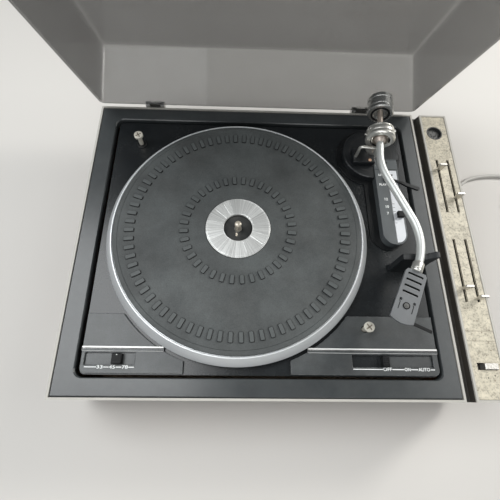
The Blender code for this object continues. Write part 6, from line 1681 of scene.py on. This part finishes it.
class RECORD_PLAYER_OT_headshell_parts(bpy.types.Operator):
    """Puts the fixing screw, its ring, the marks, the slots (painted shade with a lip of painted highlight)
    and the finger lift's sleeve on the headshell.
    """

    bl_idname = "record_player.headshell_parts"
    bl_label = "Headshell parts"

    def execute(self, context):
        proud = context.scene.record_player_sizes.print_height
        surface = top("headshell")
        heading = ARM_TURNS[-1]
        ahead = arm_heads()[-1][:2]
        across = np.array([-ahead[1], ahead[0]])
        joint = arm_corners()[-1][:2]

        def on_shell(along, aside):
            return joint + ahead * along + across * aside

        place = np.append(on_shell(SHELL_SCREW_AT, 0), surface)
        inner = SHELL_SCREW_RADIUS - SHELL_SCREW_RECESS / 2
        ring = [(inner, -SINK), (inner, SINK * 4), (SHELL_SCREW_RADIUS - SINK, SHELL_SCREW_RISE),
                (SHELL_SCREW_RADIUS, SHELL_SCREW_RISE / 2), (SHELL_SCREW_RADIUS, -SINK)]
        ring = moved(lathe(ring, ROUND_STEPS, loop=True), place)
        piece("shell_screw_ring", [ring], "deep_black", "tonearm")
        head = screw_head(inner - SINK, SHELL_SCREW_RISE, PRINT_WIDTH * SHELL_SCREW_SLOT_SHARE,
                          SHELL_SCREW_RISE * SHELL_SCREW_CUT_SHARE)
        piece("shell_screw", [moved(head, place, turn=heading)], "socket_metal", "tonearm")
        marks = []
        for along, aside in SHELL_MARKS:
            path = [on_shell(along - SHELL_MARK_HOOK / 2, aside - SHELL_MARK_HOOK / 2)]
            path += [on_shell(along + SHELL_MARK_LENGTH * share, aside) for share in (0, 0.5, 1)]
            marks.append(stroke(path, SHELL_MARK_WIDTH, surface - SINK, surface + proud))
        piece("shell_marks", marks, "deep_black", "tonearm")
        # Each slot: a dark plate of painted shade, with a grey strip of painted highlight along one side.
        slot_shades, slot_highlights = [], []
        width, length = SHELL_SLOT_SIZE
        highlight_width = SHELL_SLOT_HIGHLIGHT
        for along in SHELL_SLOTS:
            spot = np.append(on_shell(along, 0), 0)
            slot_shade = rounded_block((0, 0), (length, width), surface - SINK, surface + proud, width / 2 - SINK)
            slot_shades.append(moved(slot_shade, spot, turn=-heading))
            edge = rounded_block((0, -width / 2), (length - width, highlight_width), surface - SINK,
                                 surface + 2 * proud, highlight_width / 3)
            slot_highlights.append(moved(edge, spot, turn=-heading))
        low, high = FINGER_HEIGHTS
        path = [on_shell(FINGER_AT, aside) for aside in FINGER_SPAN]
        sleeve = stroke(path, FINGER_WIDTH, surface - low, surface - high)
        piece("finger_sleeve", [sleeve], "lever_black", "tonearm")
        piece("shell_slots", slot_shades, "deep_black", "tonearm")
        piece("shell_slot_lips", slot_highlights, "lip_grey", "tonearm")
        return {"FINISHED"}


class RECORD_PLAYER_OT_balance_weight(bpy.types.Operator):
    """Makes the grooved counterweight with its dark front ring and the ticks round its front edge."""

    bl_idname = "record_player.balance_weight"
    bl_label = "Counterweight"

    def execute(self, context):
        weight = on_arm(lathe(WEIGHT_PROFILE, ROUND_STEPS * 2, loop=True))
        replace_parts(piece("grooved_weight", [weight], "weight_metal", "counterweight"),
                    "counterweight")
        inner, outer, front = WEIGHT_RING
        ring = lathe(band(inner, outer, front - WEIGHT_RING_DEPTH, front + WEIGHT_RING_DEPTH),
                     ROUND_STEPS * 2, loop=True)
        piece("weight_ring", [on_arm(ring)], "gloss_black", "counterweight")
        radius, start = WEIGHT_EDGE
        half = WEIGHT_TICK_WIDTH / 2
        tick = oblong(-half, half, start, start - WEIGHT_TICK_LENGTH)
        points, faces = slab(tick, radius - SINK, radius + SINK)
        x, along, out = points.T
        shapes = []
        for number in range(WEIGHT_TICKS):
            turn = math.tau * number / WEIGHT_TICKS
            points = np.column_stack([out * math.cos(turn) - x * math.sin(turn),
                                      out * math.sin(turn) + x * math.cos(turn), along])
            shapes.append(on_arm((points, faces)))
        piece("weight_ticks", shapes, "dark_line", "counterweight")
        return {"FINISHED"}


class RECORD_PLAYER_OT_cue_paddle(bpy.types.Operator):
    """Puts the flat black paddle on the outer part of the lift lever."""

    bl_idname = "record_player.cue_paddle"
    bl_label = "Lift lever paddle"

    def execute(self, context):
        low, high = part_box("cue_lever")
        hub = at(*CUE_HUB, 0)[:2]
        reach = np.array([high.x, low.y]) - hub
        length = np.linalg.norm(reach)
        ahead = reach / length
        across = np.array([-ahead[1], ahead[0]])
        near, far = ([hub + ahead * share * length + side * across * half
                      for share, half in zip(PADDLE_SHARES, PADDLE_HALVES)] for side in (1, -1))
        paddle = slab(near + far[::-1], low.z + PADDLE_INSET, high.z + PADDLE_INSET)
        piece("cue_paddle", [paddle], "gloss_black", "cue_lever")
        return {"FINISHED"}


class RECORD_PLAYER_OT_knob_caps(bpy.types.Operator):
    """Puts a worn metal cap on each slider knob, and ribs on the mains lever."""

    bl_idname = "record_player.knob_caps"
    bl_label = "Knob caps"

    def execute(self, context):
        for number in range(1, 5):
            name = "slider_knob_%d" % number
            low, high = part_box(name)
            centre = ((low.x + high.x) / 2, (low.y + high.y) / 2)
            size = (high.x - low.x - 2 * KNOB_CAP_INSET, high.y - low.y - 2 * KNOB_CAP_INSET)
            cap = rounded_block(centre, size, high.z - SINK, high.z + KNOB_CAP, KNOB_CAP_INSET)
            piece(name + "_cap", [cap], "knob_metal", "slider_%d" % number)
        low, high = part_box("mains_lever")
        shapes = []
        size = (MAINS_RIB_WIDTH, (high.y - low.y) * MAINS_RIB_LENGTH_SHARE)
        for share in MAINS_RIB_SHARES:
            x = low.x + (high.x - low.x) * share
            shapes.append(rounded_block((x, (low.y + high.y) / 2), size, high.z - SINK,
                                        high.z + MAINS_RIB_HEIGHT, MAINS_RIB_CORNER))
        piece("mains_lever_ribs", shapes, "knob_metal", "mains_lever")
        return {"FINISHED"}


class RECORD_PLAYER_OT_underside(bpy.types.Operator):
    """Puts the rings on the rubber feet and the screws in the base board."""

    bl_idname = "record_player.underside"
    bl_label = "Feet and base screws"

    def execute(self, context):
        for number in range(1, 5):
            name = "foot_%d" % number
            low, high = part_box(name)
            centre = middle(name)
            radius = (high.x - low.x) / 2
            inner, rise, crest = radius - FOOT_RING_WIDTH, FOOT_RING_RISE, FOOT_RING_RISE + FOOT_RING_PROUD
            ring = [(inner, rise), (radius - SINK, rise), (radius, rise + FOOT_RING_PROUD / 2),
                    (radius - SINK, crest), (inner, crest)]
            ring = moved(lathe(ring, ROUND_STEPS, loop=True), (centre[0], centre[1], 0))
            piece(name + "_ring", [ring], "rubber", "body")
        low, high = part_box("base_board")
        shapes = []
        head = screw_head(BASE_SCREW_RADIUS, BASE_SCREW_HEIGHT, PRINT_WIDTH * 2, BASE_SCREW_HEIGHT / 2)
        for x in (low.x + BASE_SCREW_INSET, high.x - BASE_SCREW_INSET):
            for y in (low.y + BASE_SCREW_INSET, (low.y + high.y) / 2, high.y - BASE_SCREW_INSET):
                shapes.append(moved(head, (x, y, low.z), (0, 0, -1)))
        piece("base_screws", shapes, "zinc", "body")
        return {"FINISHED"}


OPERATORS = (
    RECORD_PLAYER_OT_stage,
    RECORD_PLAYER_OT_finishes,
    RECORD_PLAYER_OT_mains_lead,
    RECORD_PLAYER_OT_strain_relief,
    RECORD_PLAYER_OT_turned_platter,
    RECORD_PLAYER_OT_ribbed_mat,
    RECORD_PLAYER_OT_label_disc,
    RECORD_PLAYER_OT_socket_face,
    RECORD_PLAYER_OT_plate_marks,
    RECORD_PLAYER_OT_window_plates,
    RECORD_PLAYER_OT_lever_ribs,
    RECORD_PLAYER_OT_strip_grooves,
    RECORD_PLAYER_OT_transit_screws,
    RECORD_PLAYER_OT_module_marks,
    RECORD_PLAYER_OT_arm_metal,
    RECORD_PLAYER_OT_bearing_housing,
    RECORD_PLAYER_OT_lift_crank,
    RECORD_PLAYER_OT_headshell_parts,
    RECORD_PLAYER_OT_balance_weight,
    RECORD_PLAYER_OT_cue_paddle,
    RECORD_PLAYER_OT_knob_caps,
    RECORD_PLAYER_OT_underside,
)
SETTINGS = (
    ("record_player_sizes", RecordPlayerSizes),
    ("record_player_colours", RecordPlayerColours),
    ("record_player_stage", RecordPlayerStage),
)


class RECORD_PLAYER_PT_panel(bpy.types.Panel):
    """Lists the settings and every step that builds the record player's looks."""

    bl_idname = "RECORD_PLAYER_PT_panel"
    bl_label = "Record player"
    bl_space_type = "VIEW_3D"
    bl_region_type = "UI"
    bl_category = "Record player"

    def draw(self, context):
        column = self.layout.column()
        for name, group in SETTINGS:
            settings = getattr(context.scene, name)
            for key in group.__annotations__:
                column.prop(settings, key)
        for operator in OPERATORS:
            column.operator(operator.bl_idname)


def register():
    for name, group in SETTINGS:
        bpy.utils.register_class(group)
        setattr(bpy.types.Scene, name, bpy.props.PointerProperty(type=group))
    for kind in (*OPERATORS, RECORD_PLAYER_PT_panel):
        bpy.utils.register_class(kind)


def unregister():
    for kind in reversed((*OPERATORS, RECORD_PLAYER_PT_panel)):
        bpy.utils.unregister_class(kind)
    for name, group in reversed(SETTINGS):
        delattr(bpy.types.Scene, name)
        bpy.utils.unregister_class(group)


def main():
    """Builds everything in order."""
    register()
    for operator in OPERATORS:
        group, name = operator.bl_idname.split(".")
        getattr(getattr(bpy.ops, group), name)()


if __name__ == "__main__":
    main()
